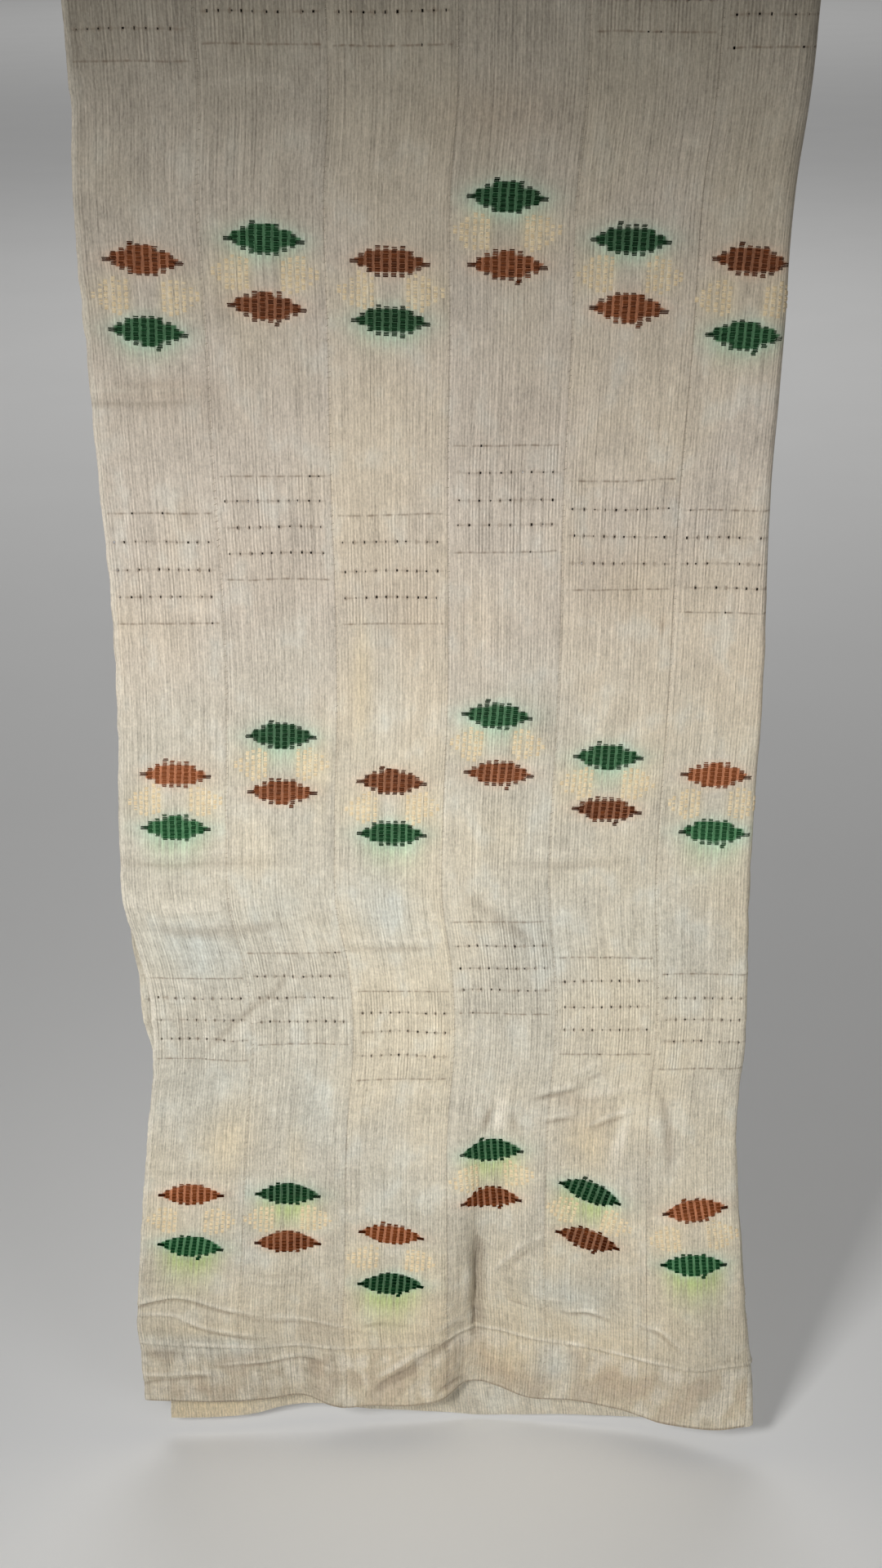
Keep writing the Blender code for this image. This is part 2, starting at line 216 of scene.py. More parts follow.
# Creases of the front layer, each along places on the cloth (distance along, height) in mm
CREASES = table(
    Crease,
    # The pinch between the third and fourth strips, and what runs out of it
    (RIDGE, -0.01, 0.0022, ((368, 196), (368, 160), (367, 130), (365, 102), (363, 62))),
    (RIDGE, -0.0042, 0.0085, ((366, 232), (367, 180), (366, 110), (362, 50))),
    (RIDGE, 0.0026, 0.006, ((353, 205), (354, 160), (352, 105))),
    (RIDGE, 0.0024, 0.005, ((380, 190), (380, 150), (379, 105))),
    (RIDGE, -0.0052, 0.0052, ((247, 17), (268, 34), (288, 46), (306, 62), (345, 76))),
    (RIDGE, 0.0034, 0.0042, ((250, 36), (268, 50), (288, 64), (312, 78))),
    (RIDGE, -0.003, 0.0034, ((312, 2), (322, 14), (340, 13), (360, 6))),
    (RIDGE, 0.0042, 0.0062, ((388, 412), (388, 386), (387, 362))),
    (RIDGE, -0.0028, 0.005, ((378, 398), (374, 382), (368, 360))),
    (RIDGE, -0.002, 0.0055, ((399, 398), (402, 380), (406, 360))),
    (RIDGE, 0.0046, 0.0026, ((387, 166), (394, 182), (403, 195), (417, 218), (449, 239))),
    (RIDGE, -0.002, 0.004, ((394, 160), (405, 180), (420, 204), (452, 228))),
    (RIDGE, 0.0034, 0.0021, ((366, 230), (372, 221), (380, 212), (391, 199))),
    # Soft folds in the fourth and fifth strips, over the lowest row of motifs
    (PLEAT, 0.0034, 0.0036, ((418, 413), (440, 416), (460, 420), (480, 428))),
    (RIDGE, 0.002, 0.007, ((460, 412), (485, 415), (510, 420), (545, 428))),
    (RIDGE, 0.0022, 0.0038, ((455, 436), (476, 447), (503, 461))),
    (RIDGE, -0.002, 0.0032, ((462, 424), (482, 434), (506, 446))),
    (PLEAT, 0.0026, 0.0032, ((434, 382), (450, 386), (470, 388))),
    (PLEAT, 0.0028, 0.0032, ((480, 372), (498, 381), (518, 390), (536, 396))),
    (RIDGE, 0.0026, 0.009, ((530, 392), (518, 350), (514, 318))),
    (RIDGE, -0.0022, 0.008, ((552, 432), (566, 400), (574, 350), (572, 300))),
    (PLEAT, 0.0026, 0.0028, ((456, 125), (466, 123), (486, 128), (502, 125), (520, 119))),
    (PLEAT, 0.0026, 0.003, ((538, 121), (561, 120), (579, 106), (592, 94))),
    (RIDGE, -0.002, 0.0022, ((396, 127), (412, 125), (428, 121))),
    (RIDGE, 0.002, 0.004, ((424, 150), (446, 140), (470, 142))),
    (RIDGE, 0.0024, 0.0055, ((312, 94), (338, 102), (360, 92))),
    # Gathered creases over and in the hem of the first and second strips
    (PLEAT, 0.0038, 0.0026, ((0, 130), (25, 139), (46, 143), (85, 131), (134, 119))),
    (RIDGE, 0.0036, 0.0028, ((0, 119), (40, 121), (61, 111), (81, 103), (160, 91))),
    (RIDGE, -0.003, 0.0023, ((46, 110), (62, 104), (81, 97), (115, 91), (140, 87))),
    (RIDGE, 0.003, 0.0021, ((130, 121), (161, 117), (189, 114), (220, 108), (271, 94))),
    (RIDGE, -0.0022, 0.0026, ((100, 119), (150, 111), (200, 106), (240, 95))),
    (PLEAT, 0.003, 0.0026, ((73, 51), (129, 56), (172, 61), (202, 55))),
    (RIDGE, -0.0024, 0.0024, ((164, 63), (186, 61), (206, 52))),
    (RIDGE, 0.0032, 0.0028, ((0, 37), (27, 38), (59, 42), (88, 42))),
    (RIDGE, -0.0034, 0.0023, ((0, 24), (26, 29), (62, 34), (92, 34))),
    (RIDGE, -0.0018, 0.005, ((0, 62), (34, 66), (80, 64))),
    (RIDGE, 0.0022, 0.004, ((206, 66), (236, 46), (242, 16))),
    (RIDGE, -0.0022, 0.0036, ((226, 100), (256, 108), (300, 104))),
    (PLEAT, -0.0018, 0.004, ((110, 178), (150, 170), (196, 172))),
    # Long soft creases in the middle of the cloth
    (PLEAT, -0.0019, 0.0055, ((44, 444), (72, 474), (102, 505), (140, 534), (160, 560), (180, 590))),
    (PLEAT, 0.002, 0.005, ((214, 592), (271, 594), (330, 593))),
    (PLEAT, 0.0018, 0.006, ((2, 697), (60, 693), (130, 696), (200, 694))),
    (PLEAT, 0.0018, 0.006, ((378, 693), (450, 690), (550, 692))),
    (RIDGE, 0.0022, 0.008, ((2, 646), (70, 640), (160, 648))),
    (RIDGE, -0.002, 0.009, ((10, 618), (80, 610), (190, 622))),
    (RIDGE, 0.0018, 0.007, ((0, 560), (50, 548), (100, 556))),
    (PLEAT, 0.002, 0.0055, ((0, 1170), (50, 1167), (113, 1168))),
    (RIDGE, -0.002, 0.01, ((345, 660), (392, 618), (430, 590))),
    (RIDGE, 0.0016, 0.008, ((100, 1440), (170, 1452), (215, 1420))),
    (RIDGE, 0.0014, 0.009, ((400, 1600), (440, 1560), (470, 1500))),
    # Pressed-in creases of the back layer
    (RIDGE, -0.0024, 0.007, ((690, 300), (720, 240), (730, 160), (724, 60))),
    (RIDGE, 0.0024, 0.007, ((860, 420), (900, 330), (910, 220), (902, 120))),
    (PLEAT, 0.0022, 0.006, ((980, 180), (1060, 168), (1140, 176))),
    (RIDGE, -0.0022, 0.008, ((1150, 560), (1180, 440), (1190, 300))),
    (PLEAT, 0.0018, 0.006, ((760, 700), (880, 694), (1000, 698))),
    (RIDGE, 0.0018, 0.008, ((1040, 1060), (1120, 1020), (1200, 1030))),
    (PLEAT, 0.0018, 0.006, ((700, 1180), (800, 1172), (900, 1178))),
)


class Rumple(NamedTuple):
    """One size of unevenness: its cells along and up the cloth, its rise, and where it shows."""

    cell_along: float
    cell_up: float
    rise: float
    low_cloth_only: bool


RUMPLES = table(
    Rumple,
    (0.12, 0.17, 0.0012, False),
    (0.046, 0.052, 0.0006, False),
    (0.075, 0.017, 0.0011, True),
    (0.022, 0.024, 0.0006, True),
    (0.009, 0.07, 0.0002, False),
)


class Yarn(Enum):
    """The three colours of yarn woven in."""

    GREEN = "green"
    RUST = "rust"
    GOLD = "gold"


class Fading(Enum):
    """How light a motif's yarn is now: its value is added to the yarn's tone."""

    DEEP = -0.40
    PLAIN = 0.0
    FADED = 0.85


class SpindlePlace(NamedTuple):
    """One spindle: its yarn, its middle in the strip, its lean in degrees, and its fading."""

    yarn: Yarn
    along: float
    height: float
    lean: float
    fading: Fading


class MotifPair(NamedTuple):
    """Two spindles one over the other in a strip: the upper one's yarn, and where each lies."""

    strip: int
    upper_yarn: Yarn
    upper_along: float
    upper_height: float
    lower_along: float
    lower_height: float
    upper_lean: float
    lower_lean: float
    upper_fading: Fading = Fading.PLAIN
    lower_fading: Fading = Fading.PLAIN

    def spindles(self) -> tuple[SpindlePlace, SpindlePlace]:
        """The upper spindle, and the lower one, which is of the other dark yarn."""
        other = Yarn.RUST if self.upper_yarn is Yarn.GREEN else Yarn.GREEN
        return (
            SpindlePlace(
                self.upper_yarn, self.upper_along, self.upper_height, self.upper_lean, self.upper_fading
            ),
            SpindlePlace(
                other, self.lower_along, self.lower_height, self.lower_lean, self.lower_fading
            ),
        )

    def middle(self) -> tuple[float, float]:
        """The middle of the space between the two, along the strip and up."""
        along = (self.upper_along + self.lower_along) / 2
        return along, (self.upper_height + self.lower_height) / 2


GREEN = Yarn.GREEN
RUST = Yarn.RUST
GOLD = Yarn.GOLD
DEEP = Fading.DEEP
PLAIN = Fading.PLAIN
FADED = Fading.FADED

# Distances along are within the strip, leans in degrees, down to the right
MOTIF_PAIRS = table(
    MotifPair,
    (1, RUST, 0.059, 1.294, 0.0585, 1.229, 2, 4),
    (2, GREEN, 0.057, 1.312, 0.0565, 1.251, 2, 3, PLAIN, DEEP),
    (3, RUST, 0.0575, 1.291, 0.057, 1.237, 2, 2, DEEP, DEEP),
    (4, GREEN, 0.05, 1.348, 0.0515, 1.287, 1, 1, DEEP),
    (5, GREEN, 0.05, 1.309, 0.0505, 1.247, 1, 2, DEEP),
    (6, RUST, 0.0475, 1.29, 0.046, 1.222, 3, 1, DEEP),
    (1, RUST, 0.0585, 0.787, 0.0585, 0.729, 1, 0, FADED, FADED),
    (2, GREEN, 0.0545, 0.827, 0.0565, 0.767, 0, 0, DEEP),
    (3, RUST, 0.057, 0.777, 0.0585, 0.72, 1, 0, DEEP),
    (4, GREEN, 0.05, 0.848, 0.0545, 0.786, 3, 3),
    (5, GREEN, 0.054, 0.803, 0.056, 0.745, 1, 3, PLAIN, DEEP),
    (6, RUST, 0.0535, 0.783, 0.056, 0.72, 1, 0, FADED, FADED),
    (1, RUST, 0.053, 0.286, 0.0545, 0.216, 0, 5, FADED, FADED),
    (2, GREEN, 0.0475, 0.285, 0.0485, 0.221, 0, 0, DEEP),
    (3, RUST, 0.05, 0.233, 0.0495, 0.164, 5, 3, FADED, DEEP),
    (4, GREEN, 0.05, 0.342, 0.05, 0.278, -5, -4),
    (5, GREEN, 0.049, 0.293, 0.0465, 0.23, 17, 12, DEEP, DEEP),
    (6, RUST, 0.052, 0.277, 0.05, 0.209, -8, -3, FADED, FADED),
    # The back layer's strips
    (7, GREEN, 0.054, 1.322, 0.055, 1.259, 2, 2),
    (8, RUST, 0.056, 1.286, 0.0555, 1.224, 1, 2),
    (9, GREEN, 0.053, 1.337, 0.0535, 1.276, 2, 1),
    (10, RUST, 0.057, 1.299, 0.056, 1.236, 3, 1),
    (11, RUST, 0.055, 1.318, 0.0555, 1.254, 1, 2),
    (12, GREEN, 0.0535, 1.281, 0.053, 1.22, 2, 3),
    (7, GREEN, 0.055, 0.818, 0.0545, 0.758, 1, 0),
    (8, RUST, 0.056, 0.774, 0.057, 0.714, 0, 1),
    (9, GREEN, 0.054, 0.836, 0.054, 0.777, 2, 1),
    (10, RUST, 0.0555, 0.79, 0.056, 0.729, 1, 2),
    (11, RUST, 0.054, 0.809, 0.055, 0.748, 0, 1),
    (12, GREEN, 0.0545, 0.77, 0.054, 0.711, 1, 0),
    (7, GREEN, 0.053, 0.3, 0.054, 0.236, 2, 3),
    (8, RUST, 0.056, 0.256, 0.055, 0.193, 1, 0),
    (9, GREEN, 0.0545, 0.322, 0.055, 0.259, 0, 2),
    (10, RUST, 0.056, 0.279, 0.0555, 0.214, 2, 1),
    (11, RUST, 0.055, 0.297, 0.054, 0.233, 1, 1),
    (12, GREEN, 0.054, 0.262, 0.055, 0.198, 0, 2),
)


class OpenworkBand(NamedTuple):
    """One band of openwork in a strip: the heights of its five lines in mm, lowest first."""

    strip: int
    lines: tuple[float, float, float, float, float]


OPENWORK = table(
    OpenworkBand,
    (1, (459, 483, 507, 533, 557)),
    (2, (476, 503, 532, 558, 586)),
    (3, (432, 461, 490, 513, 539)),
    (4, (512, 540, 566, 592, 620)),
    (5, (464, 493, 520, 550, 577)),
    (6, (447, 479, 505, 530, 558)),
    (1, (945, 972, 1000, 1028, 1056)),
    (2, (990, 1016, 1042, 1068, 1092)),
    (3, (944, 971, 997, 1026, 1053)),
    (4, (1016, 1043, 1067, 1094, 1120)),
    (5, (977, 1003, 1030, 1057, 1085)),
    (6, (953, 978, 1002, 1028, 1055)),
    (1, (1467, 1494, 1521, 1548, 1575)),
    (2, (1480, 1507, 1534, 1560, 1587)),
    (3, (1478, 1506, 1532, 1559, 1585)),
    (4, (1524, 1551, 1578, 1604, 1631)),
    (5, (1488, 1515, 1541, 1568, 1595)),
    (6, (1474, 1501, 1528, 1554, 1581)),
    # The back layer's strips
    (7, (493, 520, 547, 573, 600)),
    (8, (449, 476, 503, 529, 556)),
    (9, (509, 535, 562, 588, 616)),
    (10, (466, 493, 519, 546, 573)),
    (11, (481, 508, 534, 561, 588)),
    (12, (452, 478, 505, 531, 559)),
    (7, (996, 1022, 1049, 1075, 1102)),
    (8, (947, 974, 1001, 1027, 1053)),
    (9, (1012, 1038, 1065, 1091, 1118)),
    (10, (962, 989, 1016, 1042, 1069)),
    (11, (984, 1011, 1037, 1064, 1090)),
    (12, (949, 975, 1002, 1029, 1056)),
    (7, (1505, 1532, 1558, 1585, 1612)),
    (8, (1471, 1497, 1524, 1551, 1577)),
    (9, (1518, 1545, 1571, 1598, 1625)),
    (10, (1482, 1508, 1535, 1562, 1588)),
    (11, (1498, 1525, 1551, 1578, 1604)),
    (12, (1469, 1496, 1522, 1549, 1576)),
)


class StainKind(Enum):
    """The colours of the stains that years of washing and hanging have left."""

    BROWN = 0
    YELLOW = 1
    GREY_BLUE = 2


class Stain(NamedTuple):
    """One soft-edged stain: its kind, its middle, its half width and half height, its strength."""

    kind: StainKind
    along: float
    height: float
    half_width: float
    half_height: float
    strength: float


BROWN = StainKind.BROWN
YELLOW = StainKind.YELLOW
GREY_BLUE = StainKind.GREY_BLUE

STAINS = table(
    Stain,
    (BROWN, 0.37, 1.42, 0.06, 0.03, 0.55),
    (BROWN, 0.06, 1.175, 0.05, 0.008, 0.6),
    (BROWN, 0.09, 1.16, 0.06, 0.03, 0.35),
    (BROWN, 0.4, 1.15, 0.06, 0.06, 0.3),
    (BROWN, 0.29, 0.95, 0.05, 0.05, 0.4),
    (BROWN, 0.49, 0.99, 0.05, 0.045, 0.4),
    (BROWN, 0.17, 1.0, 0.05, 0.05, 0.25),
    (BROWN, 0.54, 0.94, 0.003, 0.008, 1.0),
    (BROWN, 0.19, 0.1, 0.04, 0.025, 0.3),
    (BROWN, 0.405, 0.024, 0.024, 0.02, 0.85),
    (BROWN, 0.372, 0.045, 0.012, 0.022, 0.7),
    (BROWN, 0.34, 0.055, 0.018, 0.02, 0.6),
    (BROWN, 0.196, 0.05, 0.02, 0.012, 0.6),
    (BROWN, 0.52, 0.04, 0.03, 0.016, 0.45),
    (BROWN, 0.6, 0.05, 0.04, 0.02, 0.35),
    (BROWN, 0.06, 0.02, 0.07, 0.01, 0.55),
    (BROWN, 0.5, 0.05, 0.06, 0.03, 0.25),
    (BROWN, 0.28, 0.04, 0.04, 0.03, 0.35),
    (BROWN, 0.485, 0.38, 0.034, 0.022, 0.6),
    (BROWN, 0.468, 0.408, 0.03, 0.01, 0.55),
    (BROWN, 0.553, 0.346, 0.0028, 0.0028, 1.0),
    # Painted light on the back layer's hem where it peeks out under the front: a pale yellow patch,
    # partly the cotton's own yellowing.
    (YELLOW, 1.29, 0.02, 0.09, 0.05, 1.0),
    (YELLOW, 0.245, 0.88, 0.01, 0.06, 0.75),
    (YELLOW, 0.09, 0.36, 0.03, 0.05, 0.65),
    (YELLOW, 0.165, 0.35, 0.012, 0.04, 0.45),
    (YELLOW, 0.485, 0.35, 0.03, 0.04, 0.7),
    (YELLOW, 0.4, 0.05, 0.03, 0.03, 0.55),
    (YELLOW, 0.205, 0.79, 0.012, 0.06, 0.4),
    (YELLOW, 0.32, 0.47, 0.02, 0.05, 0.3),
    (YELLOW, 0.075, 0.1, 0.06, 0.012, 0.45),
    (YELLOW, 0.42, 0.13, 0.025, 0.03, 0.35),
    (YELLOW, 0.3, 0.12, 0.05, 0.03, 0.25),
    (GREY_BLUE, 0.06, 0.59, 0.05, 0.04, 0.75),
    (GREY_BLUE, 0.27, 0.63, 0.035, 0.045, 0.7),
    (GREY_BLUE, 0.16, 0.64, 0.04, 0.03, 0.45),
    (GREY_BLUE, 0.18, 0.4, 0.03, 0.06, 0.45),
    (GREY_BLUE, 0.12, 0.24, 0.02, 0.06, 0.4),
    (GREY_BLUE, 0.47, 0.15, 0.05, 0.03, 0.75),
    (GREY_BLUE, 0.452, 0.05, 0.022, 0.026, 0.7),
    (GREY_BLUE, 0.075, 0.08, 0.06, 0.016, 0.45),
    (GREY_BLUE, 0.27, 0.25, 0.04, 0.07, 0.5),
    (GREY_BLUE, 0.55, 0.6, 0.04, 0.06, 0.4),
    (GREY_BLUE, 0.43, 0.6, 0.04, 0.05, 0.4),
    (GREY_BLUE, 0.27, 0.86, 0.02, 0.06, 0.35),
    (GREY_BLUE, 0.06, 0.42, 0.05, 0.05, 0.35),
)


def smooth_curve(
    stations: Sequence[float], values: Sequence[float] | Array, at: float | Array
) -> Array:
    """A smooth curve through the values at the stations, level beyond its two ends.

    Args:
        stations: places where the value is known, in rising or falling order.
        values: the value at each station, numbers or rows of numbers.
        at: the places wanted.

    Returns:
        The curve's values there.
    """
    stations = np.asarray(stations, float)
    values = np.asarray(values, float)
    if stations[0] > stations[-1]:
        stations = stations[::-1]
        values = values[::-1]
    slopes = np.gradient(values, stations, axis=0)
    at = np.clip(np.asarray(at, float), stations[0], stations[-1])
    span = np.clip(np.searchsorted(stations, at, side="right") - 1, 0, len(stations) - 2)
    width = stations[span + 1] - stations[span]
    part = (at - stations[span]) / width
    start = (2 * part ** 3 - 3 * part ** 2 + 1) * values[span]
    end = (3 * part ** 2 - 2 * part ** 3) * values[span + 1]
    rise_start = (part ** 3 - 2 * part ** 2 + part) * width * slopes[span]
    rise_end = (part ** 3 - part ** 2) * width * slopes[span + 1]
    return start + end + rise_start + rise_end


def column(rows: Iterable[NamedTuple], name: str) -> list[float]:
    """One named column of a table."""
    return [getattr(row, name) for row in rows]


def curve_of(
    rows: Sequence[NamedTuple], by: str, name: str, at: float | Array
) -> Array:
    """A smooth curve through one named column of a table, by another column."""
    return smooth_curve(column(rows, by), column(rows, name), at)


def soft_step(value: Array, low: float, high: float) -> Array:
    """Nought below low, one above high, and smooth between them."""
    part = np.clip((value - low) / (high - low), 0.0, 1.0)
    return part * part * (3.0 - 2.0 * part)


def value_noise(
    along: Array, up: Array, cell_along: float, cell_up: float, seed: int
) -> Array:
    """Smooth seeded unevenness, mostly between -1 and 1.

    Args:
        along: distances along the cloth.
        up: heights, in an array of the same shape.
        cell_along: size of one lump along the cloth.
        cell_up: size of one lump up the cloth.
        seed: seed of the random numbers.

    Returns:
        The unevenness at each place.
    """
    columns = int(CLOTH_WIDTH / cell_along) + 4
    rows = int(LENGTH / cell_up) + 4
    lattice = np.random.default_rng(seed).uniform(-1.0, 1.0, (rows, columns))
    across = np.clip(along / cell_along, 0.0, columns - 2.001)
    upward = np.clip(up / cell_up, 0.0, rows - 2.001)
    i = across.astype(int)
    j = upward.astype(int)
    s = across - i
    t = upward - j
    s = s * s * s * (s * (6.0 * s - 15.0) + 10.0)
    t = t * t * t * (t * (6.0 * t - 15.0) + 10.0)
    low = lattice[j, i] * (1 - s) + lattice[j, i + 1] * s
    high = lattice[j + 1, i] * (1 - s) + lattice[j + 1, i + 1] * s
    return low * (1 - t) + high * t


@dataclass
class Drape:
    """The hanging cloth's surface: the CAD solids' folds, with the finer creases laid on them."""

    step: float = 0.002
    seam_dip: float = 0.0002
    seam_reach: float = 0.0022
    hem_line_rise: float = 0.0015
    hem_line_reach: float = 0.0026
    hem_room: float = 0.0008
    rumple_seed: int = 41
    crease_depth: float = 0.62
    # The crease relief that gives the cotton full painted shade or highlight.
    full_shading_relief: float = 0.0026
    layer_room: float = 0.0010
    tight_height: float = 1.15
    loose_height: float = 0.75
    rumpled_part: float = 0.24
    calm_part: float = 0.40
    pucker_rise: float = 0.0004
    pucker_reach: float = 0.006
    hem_line_wander: float = 0.0012
    # How much painted highlight the hem line's crest gets, and painted shade the groove below it.
    crest_highlight: float = 1.7
    groove_shade: float = 0.4
    groove_share: float = 0.6
    edge_relief: float = 0.35
    edge_reach: float = 0.004
    crease_reach: float = 3.2
    crease_steps: int = 16
    points: Array = field(init=False, default=None)
    normals: Array = field(init=False, default=None)
    # The creases' relief, which the cotton paints as shade in troughs and highlight on crests.
    relief_shading: Array = field(init=False, default=None)

    def __post_init__(self) -> None:
        """Lay the cloth out over an even grid of places."""
        self.along = np.arange(0.0, CLOTH_WIDTH + self.step / 2, self.step)
        self.up = np.arange(0.0, LENGTH + self.step / 2, self.step)
        self.room = np.full((len(self.up), len(self.along)), self.layer_room)
        base = np.array([self._row(number, height) for number, height in enumerate(self.up)])
        normals = self._normals_of(base)
        self.points = base + normals * self._relief()[..., None]
        self.normals = self._normals_of(self.points)

    @staticmethod
    def _depth_at(
        places: Sequence[NamedTuple],
        names: Sequence[str],
        heights: Sequence[float],
        highest: float,
        across: Array,
        height: float,
    ) -> Array:
        """A layer's depth at one height, from its smooth curves across at the given heights.

        Args:
            places: the layer's table.
            names: the table's columns, one for each height but the last.
            heights: the heights of the columns, and the height above which the layer is flat.
            highest: the layer's depth at the last height.
            across: the places across.
            height: the height wanted.

        Returns:
            The depth at each place across.
        """
        curves = [curve_of(places, "across", name, across) for name in names]
        curves.append(np.full_like(curves[0], highest))
        return smooth_curve(heights, np.array(curves), height)

    def _front_depth(self, across: Array, height: float) -> Array:
        """How far the front layer stands out towards -Y.

        Args:
            across: the places across.
            height: the height.

        Returns:
            The depth at each place, in metres.
        """
        names = ("at_hem", "at_hem_line", "at_low", "at_mid", "at_high")
        return self._depth_at(FRONT_PLACES, names, FRONT_HEIGHTS, 0.0, across, height)

    def _layer_gap(self, across: Array, height: float) -> Array:
        """How far the back layer's middle lies behind the front layer's.

        Args:
            across: the places across.
            height: the height.

        Returns:
            The gap at each place, in metres.
        """
        names = ("at_hem", "at_low", "at_mid", "at_high")
        back = self._depth_at(BACK_PLACES, names, BACK_HEIGHTS, -LEAST_GAP, across, height)
        return np.maximum(self._front_depth(across, height) - back, LEAST_GAP)

    def _section(self, height: float) -> tuple[Array, Array, Array, float]:
        """One level cut, from the front's selvedge round the fold to the back's selvedge.

        Args:
            height: height above the hem's lowest corner.

        Returns:
            The cut's distance along the cloth, place across and depth, and the cloth's
            length in front of the fold.
        """
        left = float(curve_of(LEFT_EDGE, "height", "across", height))
        back = float(curve_of(BACK_EDGE, "height", "across", height))
        crest = float(curve_of(FOLD, "height", "across", height))
        in_front = float(curve_of(FOLD, "height", "cloth_in_front", height))
        radius = float(curve_of(FOLD, "height", "radius", height))
        turn = np.linspace(0.0, pi / 2, ARC_STEPS)
        arc_across = crest - radius * (1.0 - np.cos(turn))
        arc_half = radius * np.sin(turn)

        def flat_part(edge: float) -> tuple[Array, Array]:
            """The places across from the fold to a selvedge, and half the layers' gap there.

            Args:
                edge: the selvedge's place across.

            Returns:
                The places, and half the gap at each.
            """
            across = np.linspace(crest - radius, edge, SECTION_STEPS)[1:]
            away = (crest - radius - across) / max(FOLD_REACH * radius, FOLD_REACH_LEAST)
            half_gap = self._layer_gap(across, height) / 2
            return across, half_gap + (radius - half_gap) * (1.0 + away) * np.exp(-away)

        front_across, front_half = flat_part(left)
        back_across, back_half = flat_part(back)
        across = np.concatenate(
            [front_across[::-1], arc_across[::-1], arc_across[1:], back_across]
        )
        half = np.concatenate([front_half[::-1], arc_half[::-1], -arc_half[1:], -back_half])
        depth = self._front_depth(across, height) - self._layer_gap(across, height) / 2 + half
        run = np.concatenate([[0.0], np.cumsum(np.hypot(np.diff(across), np.diff(depth)))])
        run_to_crest = run[len(front_across) + ARC_STEPS - 1]
        front_scale = in_front / run_to_crest
        back_scale = (CLOTH_WIDTH - in_front) / (run[-1] - run_to_crest)
        along = np.where(
            run <= run_to_crest, run * front_scale, in_front + (run - run_to_crest) * back_scale
        )
        return along, across, depth, in_front

    def _row(self, number: int, height: float) -> Array:
        """Points of the middle surface at one height, an even step apart along the cloth.

        Args:
            number: the row's number in the grid, for the room it leaves.
            height: height above the hem's lowest corner.

        Returns:
            One point for each step along the cloth.
        """
        along, across, depth, in_front = self._section(height)
        x = np.interp(self.along, along, across)
        turned = height < HEM_DEPTH + HEM_STEP or height > LENGTH - TOP_HEM_DEPTH - 2 * HEM_STEP
        taken = self.layer_room + (self.hem_room if turned else 0.0)
        self.room[number] = self._layer_gap(x, height) / 2 - taken
        y = -np.interp(self.along, along, depth)
        share = smooth_curve(LIFT_HEIGHTS, LIFT_SHARES, height)
        front = curve_of(FRONT_PLACES, "across", "hem_lift", x)
        back = curve_of(BACK_PLACES, "across", "hem_lift", x)
        rise = share * np.where(self.along > in_front, back, front)
        return np.stack([x, y, height - LENGTH + rise], axis=-1)

    @staticmethod
    def _normals_of(points: Array) -> Array:
        """Unit normals of a grid of points, away from the other layer.

        Args:
            points: the grid of points.

        Returns:
            A normal for each.
        """
        upward, along = np.gradient(points, axis=(0, 1))
        normals = np.cross(along, upward)
        return normals / np.linalg.norm(normals, axis=-1, keepdims=True)

    def _relief(self) -> Array:
        """How far the creases, seams and unevenness raise each place of the grid.

        Returns:
            A rise in metres for each place, kept clear of the other layer.
        """
        along, up = np.meshgrid(self.along, self.up)
        relief = np.zeros_like(along)
        for crease in CREASES:
            self._lay_crease(relief, crease)
        # Kept for the cotton's painted shade in the creases' troughs and painted highlight on their
        # crests.
        self.relief_shading = np.clip(relief / self.full_shading_relief, -1.0, 1.0)
        relief *= self.crease_depth
        loose = 1.0 - soft_step(up, self.loose_height, self.tight_height)
        rumpled = 1.0 - soft_step(along, self.rumpled_part, self.calm_part)
        inner_strips = 0.6 + 0.4 * rumpled
        for index, rumple in enumerate(RUMPLES):
            noise = value_noise(
                along, up, rumple.cell_along, rumple.cell_up, self.rumple_seed + index
            )
            share = loose * inner_strips if rumple.low_cloth_only else 1.0
            relief += rumple.rise * noise * share
        to_seam = np.abs((along + STRIP_WIDTH / 2) % STRIP_WIDTH - STRIP_WIDTH / 2)
        relief -= self.seam_dip * np.exp(-((to_seam / self.seam_reach) ** 2))
        pucker = value_noise(along, up, 0.03, 0.012, self.rumple_seed + 20)
        relief += self.pucker_rise * pucker * np.exp(-((to_seam / self.pucker_reach) ** 2))
        wander = self.hem_line_wander * value_noise(along, up, 0.05, 0.6, self.rumple_seed + 30)
        to_hem_line = (up - HEM_DEPTH - wander) / self.hem_line_reach
        crest = np.exp(-(to_hem_line ** 2))
        groove = self.groove_share * np.exp(-((to_hem_line + 2.0) ** 2))
        relief += self.hem_line_rise * (crest - groove)
        # The hem line's crest gets painted highlight, and the groove below it painted shade.
        patchy = 0.6 + 0.5 * value_noise(along, up, 0.035, 0.4, self.rumple_seed + 40)
        self.relief_shading += patchy * (self.crest_highlight * crest - self.groove_shade * groove)
        off_edge = soft_step(along, 0.0, self.edge_reach)
        share = self.edge_relief + (1.0 - self.edge_relief) * off_edge
        return np.maximum(relief * share, -self.room)

